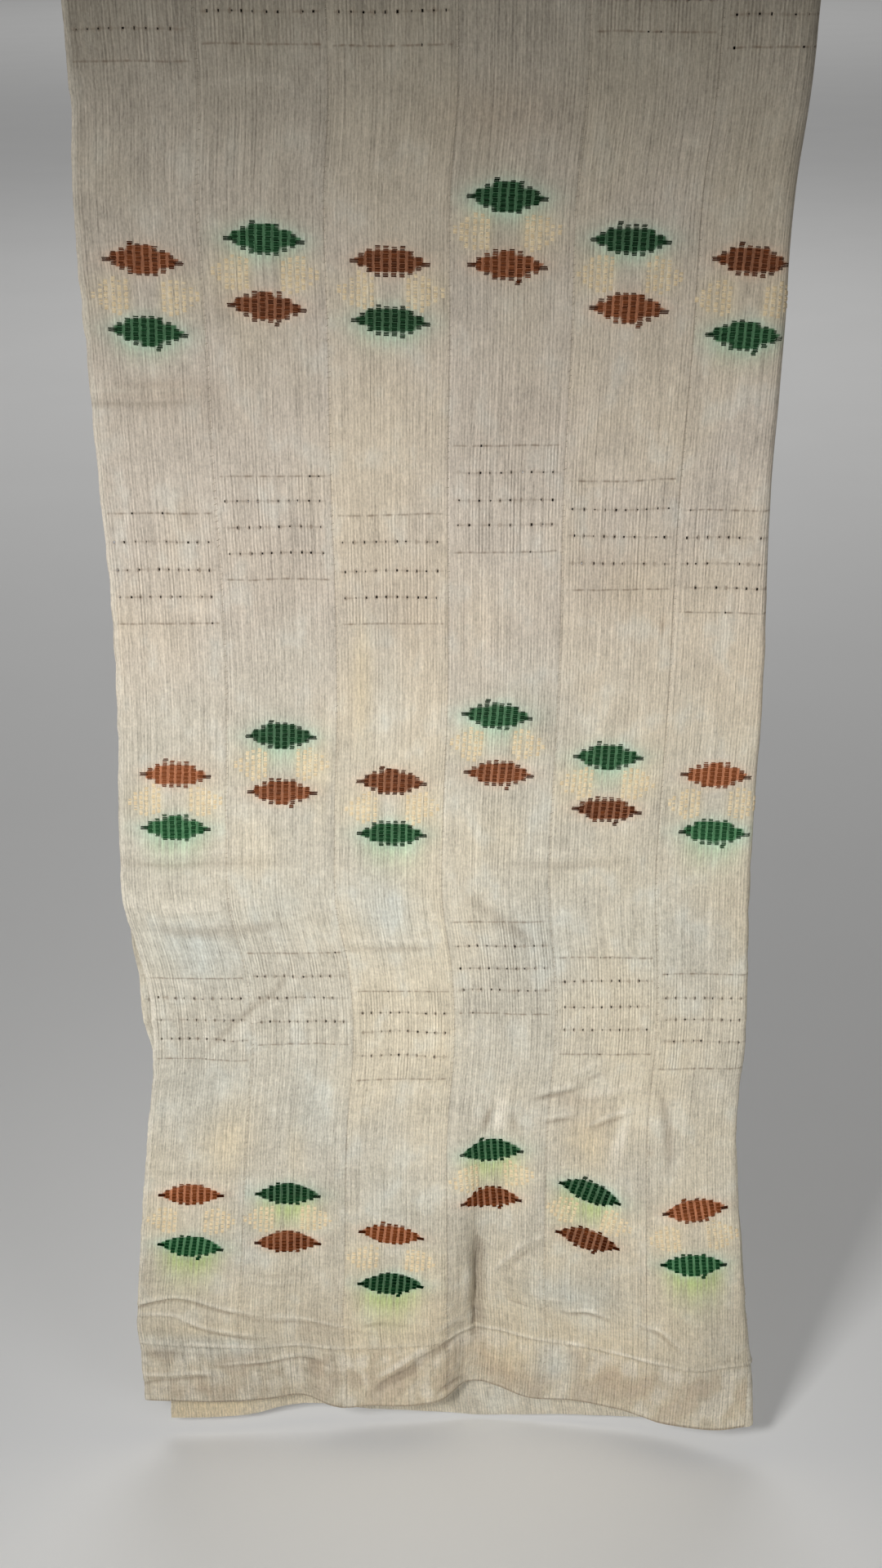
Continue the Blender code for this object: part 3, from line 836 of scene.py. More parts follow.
    def _lay_crease(self, relief: Array, crease: Crease) -> None:
        """Add one crease to the relief of the whole grid.

        Args:
            relief: the grid of heights, which this changes.
            crease: the crease to lay.
        """
        course = np.array(crease.course) / MM_IN_METRE
        reach = crease.width * self.crease_reach
        low = course.min(axis=0) - reach
        high = course.max(axis=0) + reach
        i0, i1 = np.searchsorted(self.along, (low[0], high[0]))
        j0, j1 = np.searchsorted(self.up, (low[1], high[1]))
        along, up = np.meshgrid(self.along[i0:i1], self.up[j0:j1])
        spans = len(course) - 1
        fine = np.linspace(0.0, float(spans), self.crease_steps * spans + 1)
        knots = np.arange(len(course), dtype=float)
        path = np.stack([smooth_curve(knots, course[:, k], fine) for k in (0, 1)], axis=-1)
        nearest = np.full(along.shape, 1e9)
        side = np.zeros(along.shape)
        place = np.zeros(along.shape)
        for k in range(len(path) - 1):
            start = path[k]
            run = path[k + 1] - start
            length = float(np.hypot(*run))
            part = ((along - start[0]) * run[0] + (up - start[1]) * run[1]) / length ** 2
            part = np.clip(part, 0.0, 1.0)
            dx = along - start[0] - part * run[0]
            dy = up - start[1] - part * run[1]
            distance = np.hypot(dx, dy)
            closer = distance < nearest
            nearest = np.where(closer, distance, nearest)
            side = np.where(closer, np.sign(run[0] * dy - run[1] * dx), side)
            place = np.where(closer, (k + part) / (len(path) - 1), place)
        fade = np.sqrt(np.clip(np.sin(pi * np.clip(place, 0.0, 1.0)), 0.0, 1.0))
        starts_at_selvedge = course[0][0] < 0.003
        if starts_at_selvedge:
            fade = np.where(place < 0.5, 1.0, fade)
        away = nearest / crease.width
        if crease.form is CreaseForm.RIDGE:
            profile = np.exp(-(away ** 2))
        else:
            profile = side * away * np.exp(0.5 - away ** 2 / 2)
        relief[j0:j1, i0:i1] += crease.rise * fade * profile

    def place(self, along: Array, up: Array, rise: float | Array = 0.0) -> Array:
        """Points on the cloth, or a little in front of it.

        Args:
            along: distances along the cloth.
            up: heights above the hem's lowest corner, in an array of the same shape.
            rise: how far to stand out from the middle surface.

        Returns:
            Points in metres, in an array with one more axis.
        """
        normal = self.between(self.normals, along, up)
        normal /= np.linalg.norm(normal, axis=-1, keepdims=True)
        points = self.between(self.points, along, up)
        return points + normal * np.asarray(rise, float)[..., None]

    def between(self, grid: Array, along: Array, up: Array) -> Array:
        """The values that one of the drape's grids has at places between its points.

        Args:
            grid: the grid, of numbers or of rows of numbers.
            along: distances along the cloth.
            up: heights, in an array of the same shape.

        Returns:
            The values there.
        """
        across = np.clip(np.asarray(along, float) / self.step, 0.0, len(self.along) - 1.001)
        upward = np.clip(np.asarray(up, float) / self.step, 0.0, len(self.up) - 1.001)
        i = across.astype(int)
        j = upward.astype(int)
        s = across - i
        t = upward - j
        if grid.ndim == 3:
            s = s[..., None]
            t = t[..., None]
        low = grid[j, i] * (1 - s) + grid[j, i + 1] * s
        high = grid[j + 1, i] * (1 - s) + grid[j + 1, i + 1] * s
        return low * (1 - t) + high * t


def make_object(
    name: str,
    points: Array,
    faces: list[list[int]],
    material: Material,
    sharp_angle: float | None = None,
) -> Piece:
    """Make a smooth-shaded mesh object in the scene.

    Args:
        name: the piece's name.
        points: its vertices.
        faces: its faces, one row of vertex numbers each.
        material: its material.
        sharp_angle: edges sharper than this stay sharp, or None where none does.

    Returns:
        The new object.
    """
    mesh = bpy.data.meshes.new(name)
    mesh.from_pydata(points.reshape(-1, 3).tolist(), [], faces)
    mesh.shade_smooth()
    if sharp_angle is not None:
        mesh.set_sharp_from_angle(angle=sharp_angle)
    mesh.materials.append(material)
    piece = bpy.data.objects.new(name, mesh)
    bpy.context.scene.collection.objects.link(piece)
    return piece


def corners_on_cloth(
    rows: Array, local_x: Array, local_y: Array, angle: Array
) -> tuple[Array, Array]:
    """Places on the cloth of many small shapes' corners, each shape turned about its middle.

    Args:
        rows: each shape's middle, along the cloth and up, in the first two columns.
        local_x: each corner's place across its own shape.
        local_y: each corner's place up its own shape.
        angle: each shape's turn, in radians.

    Returns:
        The corners' distances along the cloth, and their heights.
    """
    turn_cos = np.cos(angle)[:, None]
    turn_sin = np.sin(angle)[:, None]
    along = rows[:, 0, None] + local_x * turn_cos - local_y * turn_sin
    up = rows[:, 1, None] + local_x * turn_sin + local_y * turn_cos
    return along, up


def set_attribute(piece: Piece, name: str, kind: str, values: Array) -> None:
    """Store one value for each vertex of a piece.

    Args:
        piece: the mesh object.
        name: the attribute's name, which materials read it by.
        kind: FLOAT or FLOAT_VECTOR.
        values: a number or three for each vertex.
    """
    attribute = piece.data.attributes.new(name, kind, "POINT")
    key = "value" if kind == "FLOAT" else "vector"
    attribute.data.foreach_set(key, np.asarray(values, np.float32).ravel())


def set_uv(piece: Piece, places: Array) -> None:
    """Give a piece a map of its places on the cloth, in metres.

    Args:
        piece: the mesh object.
        places: distance along and height for each vertex.
    """
    layer = piece.data.uv_layers.new(name=CLOTH_MAP)
    corners = np.zeros(len(piece.data.loops), np.int32)
    piece.data.loops.foreach_get("vertex_index", corners)
    layer.data.foreach_set("uv", places[corners].astype(np.float32).ravel())


class FloatBlock(NamedTuple):
    """A block of floats: its middle across and up, its height, its floats' length, its darkness."""

    across: float
    middle: float
    height: float
    float_length: float
    darker: float = 0.0


@dataclass(frozen=True)
class Spindle:
    """A stepped spindle of coloured yarn: eight columns of short floats between two tips."""

    pitch: float = 0.0073
    float_length: float = 0.0050
    heights: tuple[float, ...] = (0.0126, 0.0215, 0.0284, 0.0284, 0.0284, 0.0284, 0.0210, 0.0126)
    tip_length: float = 0.0085
    tip_height: float = 0.0046
    slope: float = -0.040
    end_columns: tuple[float, ...] = (-3.5, -2.5, -1.5, -0.5, 0.5, 1.5, 2.5, 3.5)

    def columns(self, rng: np.random.Generator, upper: bool) -> list[FloatBlock]:
        """The blocks of floats that make up one spindle.

        Args:
            rng: random numbers for the weaver's unevenness.
            upper: whether it is the upper spindle of its pair.

        Returns:
            The blocks, the tips last but for the stray floats above or below.
        """
        blocks = []
        for place, height in zip(self.end_columns, self.heights):
            across = place * self.pitch
            middle = across * self.slope + rng.normal(0.0, 0.0003)
            tall = height + rng.normal(0.0, 0.0006)
            blocks.append(FloatBlock(across, middle, tall, self.float_length))
        reach = self.pitch * len(self.heights) / 2 + self.tip_length * 0.30
        for side, sink in ((-1.0, 0.2), (1.0, 1.5)):
            middle = side * reach * self.slope * sink
            blocks.append(FloatBlock(side * reach, middle, self.tip_height, self.tip_length, 1.0))
        top = self.heights[3] / 2
        if upper and rng.uniform() < 0.75:
            blocks.append(FloatBlock(-1.4 * self.pitch, top + 0.0014, 0.0030, 0.0054))
        if not upper and rng.uniform() < 0.75:
            blocks.append(FloatBlock(1.3 * self.pitch, -top - 0.0017, 0.0042, 0.0046))
        return blocks


@dataclass(frozen=True)
class Petals:
    """Pale petals left and right of the space between a pair of spindles."""

    offsets: tuple[float, ...] = (0.0165, 0.0225, 0.0285, 0.0345, 0.0405, 0.0460)
    heights: tuple[float, ...] = (0.0290, 0.0340, 0.0330, 0.0270, 0.0170, 0.0080)
    float_length: float = 0.0036

    def columns(self, rng: np.random.Generator) -> list[FloatBlock]:
        """The blocks of floats of the two petals, as Spindle.columns gives them."""
        blocks = []
        for side in (-1.0, 1.0):
            for offset, height in zip(self.offsets, self.heights):
                middle = rng.normal(0.0, 0.0010)
                tall = height + rng.normal(0.0, 0.0016)
                across = side * offset + rng.normal(0.0, 0.0004)
                blocks.append(FloatBlock(across, middle, tall, self.float_length))
        return blocks


@dataclass
class FloatPile:
    """Short raised floats of one yarn, gathered up to become one mesh."""

    pick_pitch: float = 0.00132
    group: int = 3
    group_gap: float = 0.00038
    rise: float = 0.00085
    root: float = 0.00035
    centres: list[tuple[float, float, float, float, float, float]] = field(default_factory=list)

    def add_block(
        self,
        origin: tuple[float, float],
        lean: float,
        block: FloatBlock,
        rng: np.random.Generator,
        pitch_share: float = 1.0,
        presence: float = 1.0,
        tone: float = 0.0,
    ) -> None:
        """Fill one block with floats, in small groups one over the other.

        Args:
            origin: the motif's middle on the cloth.
            lean: its lean down to the right, in radians.
            block: the block to fill.
            rng: random numbers for the yarn's unevenness.
            pitch_share: how much wider than usual the floats lie apart.
            presence: the share of floats that haven't worn away.
            tone: how much lighter than usual the yarn is.
        """
        across, middle, height, length, darker = block
        pitch = self.pick_pitch * pitch_share
        place = -height / 2 + pitch / 2
        count = 0
        end = height / 2 - pitch * 0.2
        while place < end:
            if rng.uniform() < presence:
                local_x = across + rng.normal(0.0, 0.00018)
                local_y = middle + place
                along = origin[0] + local_x * cos(lean) + local_y * sin(lean)
                up = origin[1] - local_x * sin(lean) + local_y * cos(lean)
                edge = 1.0 - min(1.0, (height / 2 - abs(place)) / (1.6 * pitch))
                shade = rng.normal(0.42, 0.20) - 0.30 * max(edge, 0.0) - darker + 0.38 * tone
                shade = float(np.clip(shade, 0.0, 1.0))
                half = length / 2 * (1.0 + rng.normal(0.0, 0.05))
                self.centres.append((along, up, half, pitch * 0.47, -lean, shade))
            count += 1
            place += pitch + (self.group_gap if count % self.group == 0 else 0.0)

    def build(self, name: str, drape: Drape, material: Material) -> Piece:
        """Make every float a small closed pillow on the cloth.

        Args:
            name: the piece's name.
            drape: the cloth that the floats lie on.
            material: the yarn.

        Returns:
            The new piece.
        """
        rows = np.array(self.centres)
        _, _, half_length, half_width, angle, shade = rows.T
        corners = np.array([
            (-1.0, -1.0, 0.0), (1.0, -1.0, 0.0), (1.0, 1.0, 0.0), (-1.0, 1.0, 0.0),
            (-0.70, -0.45, 1.0), (0.70, -0.45, 1.0), (0.70, 0.45, 1.0), (-0.70, 0.45, 1.0),
        ])
        local_x = corners[None, :, 0] * half_length[:, None]
        local_y = corners[None, :, 1] * half_width[:, None]
        u, h = corners_on_cloth(rows, local_x, local_y, angle)
        rise = self.root + corners[None, :, 2] * self.rise + np.zeros_like(u)
        points = drape.place(u, h, rise)
        sides = np.array([
            (3, 2, 1, 0), (4, 5, 6, 7), (0, 1, 5, 4), (1, 2, 6, 5), (2, 3, 7, 6), (3, 0, 4, 7),
        ])
        faces = (sides[None] + 8 * np.arange(len(rows))[:, None, None]).reshape(-1, 4)
        piece = make_object(name, points, faces.tolist(), material, radians(80))
        set_attribute(piece, "shade", "FLOAT", np.repeat(shade, 8))
        set_uv(piece, np.stack([u.ravel(), h.ravel()], axis=-1))
        return piece


@dataclass
class ThreadRun:
    """Short arched stitches of sewing thread, gathered up to become one mesh."""

    radius: float = 0.00028
    rise: float = 0.00034
    root: float = 0.00040
    stitches: list[tuple[float, float, float, float, float]] = field(default_factory=list)

    def add(self, along: float, up: float, half_length: float, angle: float, scale: float) -> None:
        """Note one stitch: its middle, half its length, its angle and its thickness."""
        self.stitches.append((along, up, half_length, angle, scale))

    def build(self, name: str, drape: Drape, material: Material) -> Piece:
        """Make every stitch a small arched bar on the cloth.

        Args:
            name: the piece's name.
            drape: the cloth that they are sewn to.
            material: the thread.

        Returns:
            The new piece.
        """
        rows = np.array(self.stitches)
        _, _, half_length, angle, scale = rows.T
        stations = ((-1.0, 0.0), (-0.45, 1.0), (0.45, 1.0), (1.0, 0.0))
        ring = ((-1.0, 0.0), (0.0, 1.0), (1.0, 0.0))
        corners = np.array([
            (place, side, lift, arch) for place, arch in stations for side, lift in ring
        ])
        local_x = corners[None, :, 0] * half_length[:, None]
        local_y = corners[None, :, 1] * self.radius * scale[:, None]
        u, h = corners_on_cloth(rows, local_x, local_y, angle)
        arch = corners[None, :, 3] * self.rise * scale[:, None]
        lift = corners[None, :, 2] * self.radius * 1.6 * scale[:, None]
        points = drape.place(u, h, self.root + arch + lift)
        quads = []
        for k in range(len(stations) - 1):
            a = 3 * k
            b = a + 3
            quads += [(a, b, b + 1, a + 1), (a + 1, b + 1, b + 2, a + 2), (a + 2, b + 2, b, a)]
        last = 3 * (len(stations) - 1)
        step = 3 * len(stations)
        starts = step * np.arange(len(rows))[:, None, None]
        faces = (np.array(quads)[None] + starts).reshape(-1, 4).tolist()
        ends = np.array([(0, 1, 2), (last + 2, last + 1, last)])
        faces += (ends[None] + starts).reshape(-1, 3).tolist()
        piece = make_object(name, points, faces, material)
        set_uv(piece, np.stack([u.ravel(), h.ravel()], axis=-1))
        return piece


@dataclass
class StripCloth:
    """One woven strip: a thin closed sheet with its turned hems and its openwork."""

    number: int
    thickness: float = 0.0011
    seam_gap: float = 0.0002
    edge_thinning: float = 0.0003
    first_hole: float = 0.0105
    hole_pitch: float = 0.0099
    hole_count: int = 10
    hole_half_width: float = 0.0008
    hole_half_height: float = 0.0011
    columns_between: int = 2
    row_step_hem: float = 0.0021
    row_step_low: float = 0.0032
    row_step_high: float = 0.0060
    hem_part: float = 0.17
    low_part: float = 0.64
    open_share: float = 0.86
    outer_open_share: float = 0.10
    least_row_gap: float = 0.0013
    weft_wander: float = 0.0012

    def __post_init__(self) -> None:
        """Set out the strip's columns and rows."""
        self.start = (self.number - 1) * STRIP_WIDTH
        self.rng = np.random.default_rng(700 + self.number)
        self.lines = sorted(
            tuple(line / MM_IN_METRE for line in band.lines)
            for band in OPENWORK if band.strip == self.number
        )

    @classmethod
    def of(cls, number: int) -> "StripCloth":
        """The strip of this number: the back layer's are meshed more coarsely."""
        if number <= FRONT_STRIPS:
            return cls(number)
        return cls(
            number, columns_between=1, row_step_hem=0.0060, row_step_low=0.0060, row_step_high=0.0085
        )

    @property
    def name(self) -> str:
        """The piece's name."""
        return f"strip_{self.number:02d}_cloth"

    @property
    def node(self) -> str:
        """The CAD node that the piece stands for."""
        return f"strip_{self.number:02d}"

    def _holes_at(self) -> Array:
        """Distances of the holes' middles from the strip's near edge."""
        return self.first_hole + self.hole_pitch * np.arange(self.hole_count)

    def _columns(self) -> tuple[Array, Array]:
        """Distances of the columns from the strip's near edge, and the holes' first columns.

        Returns:
            The distances, and the number of each hole's first column.
        """
        places = [self.seam_gap / 2, 0.0015, 0.0050]
        first_columns = []
        holes = self._holes_at()
        for index, middle in enumerate(holes):
            first_columns.append(len(places))
            places += [middle - self.hole_half_width, middle + self.hole_half_width]
            if index < len(holes) - 1:
                space = self.hole_pitch - 2 * self.hole_half_width
                step = space / (self.columns_between + 1)
                places += [places[-1] + step * (k + 1) for k in range(self.columns_between)]
        places += [0.1045, STRIP_WIDTH - 0.0015, STRIP_WIDTH - self.seam_gap / 2]
        return np.array(places), np.array(first_columns)

    def _rows(self) -> tuple[Array, dict[float, int]]:
        """Heights of the rows, and the row under each openwork line.

        Returns:
            The heights, and by a line's height the number of the row under it.
        """
        reach = self.hole_half_height
        kept = [line + side * reach for band in self.lines for line in band for side in (-1, 1)]
        kept += [0.0, 0.0014, HEM_DEPTH - HEM_STEP, HEM_DEPTH]
        kept += [LENGTH - TOP_HEM_DEPTH - HEM_STEP, LENGTH - TOP_HEM_DEPTH, LENGTH]
        kept = np.array(sorted(kept))
        lowest = np.arange(0.0, self.hem_part, self.row_step_hem)
        low = np.arange(self.hem_part, self.low_part, self.row_step_low)
        high = np.arange(self.low_part, LENGTH, self.row_step_high)
        even = np.concatenate([lowest, low, high])
        away = np.abs(even[:, None] - kept[None, :]).min(axis=1)
        heights = np.sort(np.concatenate([kept, even[away > self.least_row_gap]]))
        rows = {
            line: int(np.argmin(np.abs(heights - (line - reach))))
            for band in self.lines for line in band
        }
        return heights, rows

    def _open_holes(
        self,
        along: Array,
        up: Array,
        first_columns: Array,
        line_rows: dict[float, int],
    ) -> Array:
        """Choose the holes of the openwork, and give each its own size and place.

        Args:
            along: the grid's distances along the cloth, which this changes.
            up: the grid's heights, which this changes.
            first_columns: the first column of each hole.
            line_rows: the row under each openwork line.

        Returns:
            For each cell of the grid, whether there is cloth in it.
        """
        cloth = np.ones((along.shape[0] - 1, along.shape[1] - 1), bool)
        for band in self.lines:
            for rank, line in enumerate(band):
                row = line_rows[line]
                share = self.open_share if 0 < rank < 4 else self.outer_open_share
                for first in first_columns:
                    size = self.rng.uniform(0.55, 1.25)
                    tall = self.rng.uniform(0.60, 1.30)
                    shift = self.rng.normal(0.0, 0.0007)
                    opened = self.rng.uniform() < share
                    corner = (slice(row, row + 2), slice(first, first + 2))
                    middle = along[corner].mean() + shift
                    along[corner] = middle + (along[corner] - along[corner].mean()) * size
                    up[corner] = line + (up[corner] - line) * tall
                    if opened:
                        cloth[row, first] = False
        return cloth

    def _inner_reach(self, up: Array) -> Array:
        """How far the cloth reaches behind its middle: a hem is turned up on the inside.

        Args:
            up: heights.

        Returns:
            The reach at each height, in metres.
        """
        in_hem = (up < HEM_DEPTH - HEM_STEP / 2) | (up > LENGTH - TOP_HEM_DEPTH - HEM_STEP / 2)
        return self.thickness / 2 + np.where(in_hem, self.thickness, 0.0)

    def build(self, drape: Drape, material: Material) -> Piece:
        """Make the strip on the draped surface.

        Args:
            drape: the hanging cloth's surface.
            material: the woven cotton.

        Returns:
            The new piece.
        """
        places, first_columns = self._columns()
        heights, line_rows = self._rows()
        along, up = np.meshgrid(self.start + places, heights)
        cloth = self._open_holes(along, up, first_columns, line_rows)
        flat_along = along.copy()
        self._fray_edges(along, up)
        outward = np.full(along.shape, self.thickness / 2)
        outward[:, (0, -1)] -= self.edge_thinning
        outward[(0, -1), :] -= self.edge_thinning
        hung_up = up + self._wander(along, up)
        outer = drape.place(along, hung_up, outward)
        inner = drape.place(along, hung_up, -self._inner_reach(up))
        faces = self._faces(cloth)
        points = np.concatenate([outer.reshape(-1, 3), inner.reshape(-1, 3)])
        piece = make_object(self.name, points, faces.tolist(), material, radians(62))
        flat = np.stack([flat_along.ravel(), up.ravel()], axis=-1)
        set_uv(piece, np.tile(flat, (2, 1)))
        for name, values in self._colour_maps(drape, flat_along, up).items():
            set_attribute(piece, name, "FLOAT_VECTOR", np.tile(values, (2, 1)))
        return piece

    def _wander(self, along: Array, up: Array) -> Array:
        """How far the weft rises and dips on its way across, but not at the hems.

        Args:
            along: distances along the cloth.
            up: heights, in an array of the same shape.

        Returns:
            The rise at each place, in metres.
        """
        free = soft_step(up, 0.10, 0.16) * (1.0 - soft_step(up, LENGTH - 0.10, LENGTH - 0.04))
        slow = value_noise(along, up, 0.045, 0.060, 120 + self.number)
        quick = value_noise(along, up, 0.014, 0.030, 140 + self.number)
        return free * (self.weft_wander * slow + 0.3 * self.weft_wander * quick)

    def _fray_edges(self, along: Array, up: Array) -> None:
        """Let a free selvedge and the hem's edge wander a little.

        Args:
            along: the grid's distances along the cloth, which this changes.
            up: the grid's heights, which this changes.
        """
        wave = value_noise(0.3 + 0 * up[:, 0], up[:, 0], 0.1, 0.021, 60 + self.number)
        fine = value_noise(0.5 + 0 * up[:, 0], up[:, 0], 0.1, 0.006, 80 + self.number)
        scallop = 0.0012 + 0.0008 * wave + 0.0004 * fine
        if self.number == 1:
            along[:, 0] += scallop
            along[:, 1] += scallop
            along[:, 2] += scallop / 2
        if self.number == STRIP_COUNT:
            along[:, -1] -= scallop
            along[:, -2] -= scallop
            along[:, -3] -= scallop / 2
        hem_wave = 0.0006 + 0.0006 * value_noise(along[0], 0 * along[0] + 0.2, 0.03, 0.2, 91)
        up[0] += hem_wave
        up[1] += hem_wave * 0.8

    @staticmethod
    def _faces(cloth: Array) -> Array:
        """Faces of both sides and of every edge, of the sheet and of its holes.

        Args:
            cloth: for each cell of the grid, whether there is cloth in it.

        Returns:
            Rows of four vertex numbers: the outer grid's vertices come first, then the inner's.
        """
        rows, columns = cloth.shape
        number = np.arange((rows + 1) * (columns + 1)).reshape(rows + 1, columns + 1)
        back = number + number.size
        j, i = np.nonzero(cloth)
        outer = np.stack(
            [number[j, i], number[j, i + 1], number[j + 1, i + 1], number[j + 1, i]], axis=-1
        )
        inner = np.stack(
            [back[j, i], back[j + 1, i], back[j + 1, i + 1], back[j, i + 1]], axis=-1
        )
        walls = []
        wide = np.pad(cloth, ((0, 0), (1, 1)))
        j, i = np.nonzero(wide[:, 1:] & ~wide[:, :-1])
        walls.append((number[j, i], number[j + 1, i], back[j + 1, i], back[j, i]))
        j, i = np.nonzero(wide[:, :-1] & ~wide[:, 1:])
        walls.append((number[j, i], back[j, i], back[j + 1, i], number[j + 1, i]))
        tall = np.pad(cloth, ((1, 1), (0, 0)))
        j, i = np.nonzero(tall[1:] & ~tall[:-1])
        walls.append((number[j, i], back[j, i], back[j, i + 1], number[j, i + 1]))
        j, i = np.nonzero(tall[:-1] & ~tall[1:])
        walls.append((number[j, i], number[j, i + 1], back[j, i + 1], back[j, i]))
        return np.concatenate([outer, inner] + [np.stack(wall, axis=-1) for wall in walls])

    def _colour_maps(self, drape: Drape, along: Array, up: Array) -> dict[str, Array]:
        """What the cloth's material reads at each vertex.

        Args:
            drape: the hanging cloth's surface.
            along: the grid's distances along the cloth.
            up: the grid's heights.

        Returns:
            By attribute name, three numbers for each vertex of the grid: the openwork's line
            and hole counts, how much of each yarn's dye has spread, how far green has run
            down, the creases' relief for their painted shade and highlight and the dye's tone,
            and how much of each stain.
        """
        line = np.full(along.shape, 0.5)
        band_share = np.zeros(along.shape)
        for index, lines in enumerate(self.lines):
            pitch = (lines[-1] - lines[0]) / 4
            near = (up > lines[0] - 0.5 * pitch) & (up < lines[-1] + 0.5 * pitch)
            stations = (lines[0] - pitch, *lines, lines[-1] + pitch)
            counts = np.arange(-1.0, 6.0) + 10.0 * index
            line = np.where(near, np.interp(up, stations, counts), line)
            outside = np.maximum(lines[0] - up, up - lines[-1])
            band_share = np.maximum(band_share, 1.0 - soft_step(outside, 0.002, 0.008))
        hole = (along - self.start - self.first_hole) / self.hole_pitch
        openwork = np.stack([line, band_share, hole], axis=-1)
        dye, run, tone = DyeRuns(self.number).spread(along, up)
        relief_shading = drape.between(drape.relief_shading, along, up)
        marks = np.stack([run, relief_shading, tone], axis=-1)
        stain = np.zeros((3, *along.shape))
        for patch in STAINS:
            away = ((along - patch.along) / patch.half_width) ** 2
            away = away + ((up - patch.height) / patch.half_height) ** 2
            stain[patch.kind.value] += patch.strength * np.exp(-away)
        return {
            "openwork": openwork.reshape(-1, 3),
            "dye": dye.reshape(3, -1).T,
            "marks": marks.reshape(-1, 3),
            "stain": np.clip(stain, 0.0, 1.0).reshape(3, -1).T,
        }


@dataclass(frozen=True)
class DyeRuns:
    """Where the yarns' dye has run into the cotton round the motifs of one strip."""

    strip: int
    half_length: float = 0.0324
    half_height: float = 0.0136
    green_reach: float = 0.0052
    rust_reach: float = 0.0034
    drop_high: float = 0.013
    drop_low: float = 0.030
    run_half_width: float = 0.029
    run_heights: tuple[float, ...] = (0.2, 0.8, 1.3)
    run_strengths: tuple[float, ...] = (1.45, 0.95, 0.90)
    petals_half_width: float = 0.048
    petals_half_height: float = 0.021
    bare_half_width: float = 0.0145

    def spread(self, along: Array, up: Array) -> tuple[Array, Array, Array]:
        """How much green, rust and gold dye has spread at each place, and how much has run down.

        Args:
            along: distances along the cloth.
            up: heights, in an array of the same shape.

        Returns:
            Three arrays of that shape, one over the other, one of the run below the greens,
            and one of how light the motifs' dye is.
        """
        runs = np.zeros(along.shape)
        tones = np.full(along.shape, 0.5)
        green = np.zeros(along.shape)
        rust = np.zeros(along.shape)
        gold = np.zeros(along.shape)
        start = (self.strip - 1) * STRIP_WIDTH
        for pair in MOTIF_PAIRS:
            if pair.strip != self.strip:
                continue
            for spindle in pair.spindles():
                x, y = self._turned(
                    along - start - spindle.along, up - spindle.height, radians(spindle.lean)
                )
                tone = 0.5 + 0.5 * spindle.fading.value
                tones = np.where(np.abs(y) < 2 * self.half_height, tone, tones)
                if spindle.yarn is RUST:
                    rust = np.maximum(rust, self._halo(x, y, self.rust_reach))
                    continue
                green = np.maximum(green, self._halo(x, y, self.green_reach))
                drop = np.interp(spindle.height, (0.2, 1.3), (self.drop_low, self.drop_high))
                full = np.interp(spindle.height, self.run_heights, self.run_strengths)
                below = np.clip(-y - 0.008, 0.0, 1.0)
                sides = (np.abs(x) / self.run_half_width) ** 3
                run = full * np.exp(-sides - (below / drop) ** 1.5)
                runs = np.maximum(runs, run * soft_step(-y, -0.004, 0.008))
            middle, centre = pair.middle()
            x, y = self._turned(along - start - middle, up - centre, radians(pair.upper_lean))
            away = (np.abs(x) / self.petals_half_width) ** 3
            away = away + (np.abs(y) / self.petals_half_height) ** 3
            bare = 1.0 - 0.95 * np.exp(-((x / self.bare_half_width) ** 4))
            gold = np.maximum(gold, 0.95 * np.exp(-away) * bare)
        dye = np.clip(np.stack([green, rust, gold]), 0.0, 1.0)
        return dye, np.clip(runs, 0.0, 1.0), tones

    @staticmethod
    def _turned(x: Array, y: Array, lean: float) -> tuple[Array, Array]:
        """The same places in a motif's own leaning frame."""
        return x * cos(lean) - y * sin(lean), x * sin(lean) + y * cos(lean)

    def _halo(self, x: Array, y: Array, reach: float) -> Array:
        """One inside a spindle's outline, fading to nought outside it.

        Args:
            x: distances from the spindle's middle along it.
            y: distances from its middle across it.
            reach: how far the dye has spread.

        Returns:
            The share of dye at each place.
        """
        size = (np.abs(x) / self.half_length) ** 1.5 + (np.abs(y) / self.half_height) ** 1.5
        outside = np.clip(size ** (1 / 1.5) - 1.0, 0.0, None) * self.half_height
        return np.exp(-outside / reach)


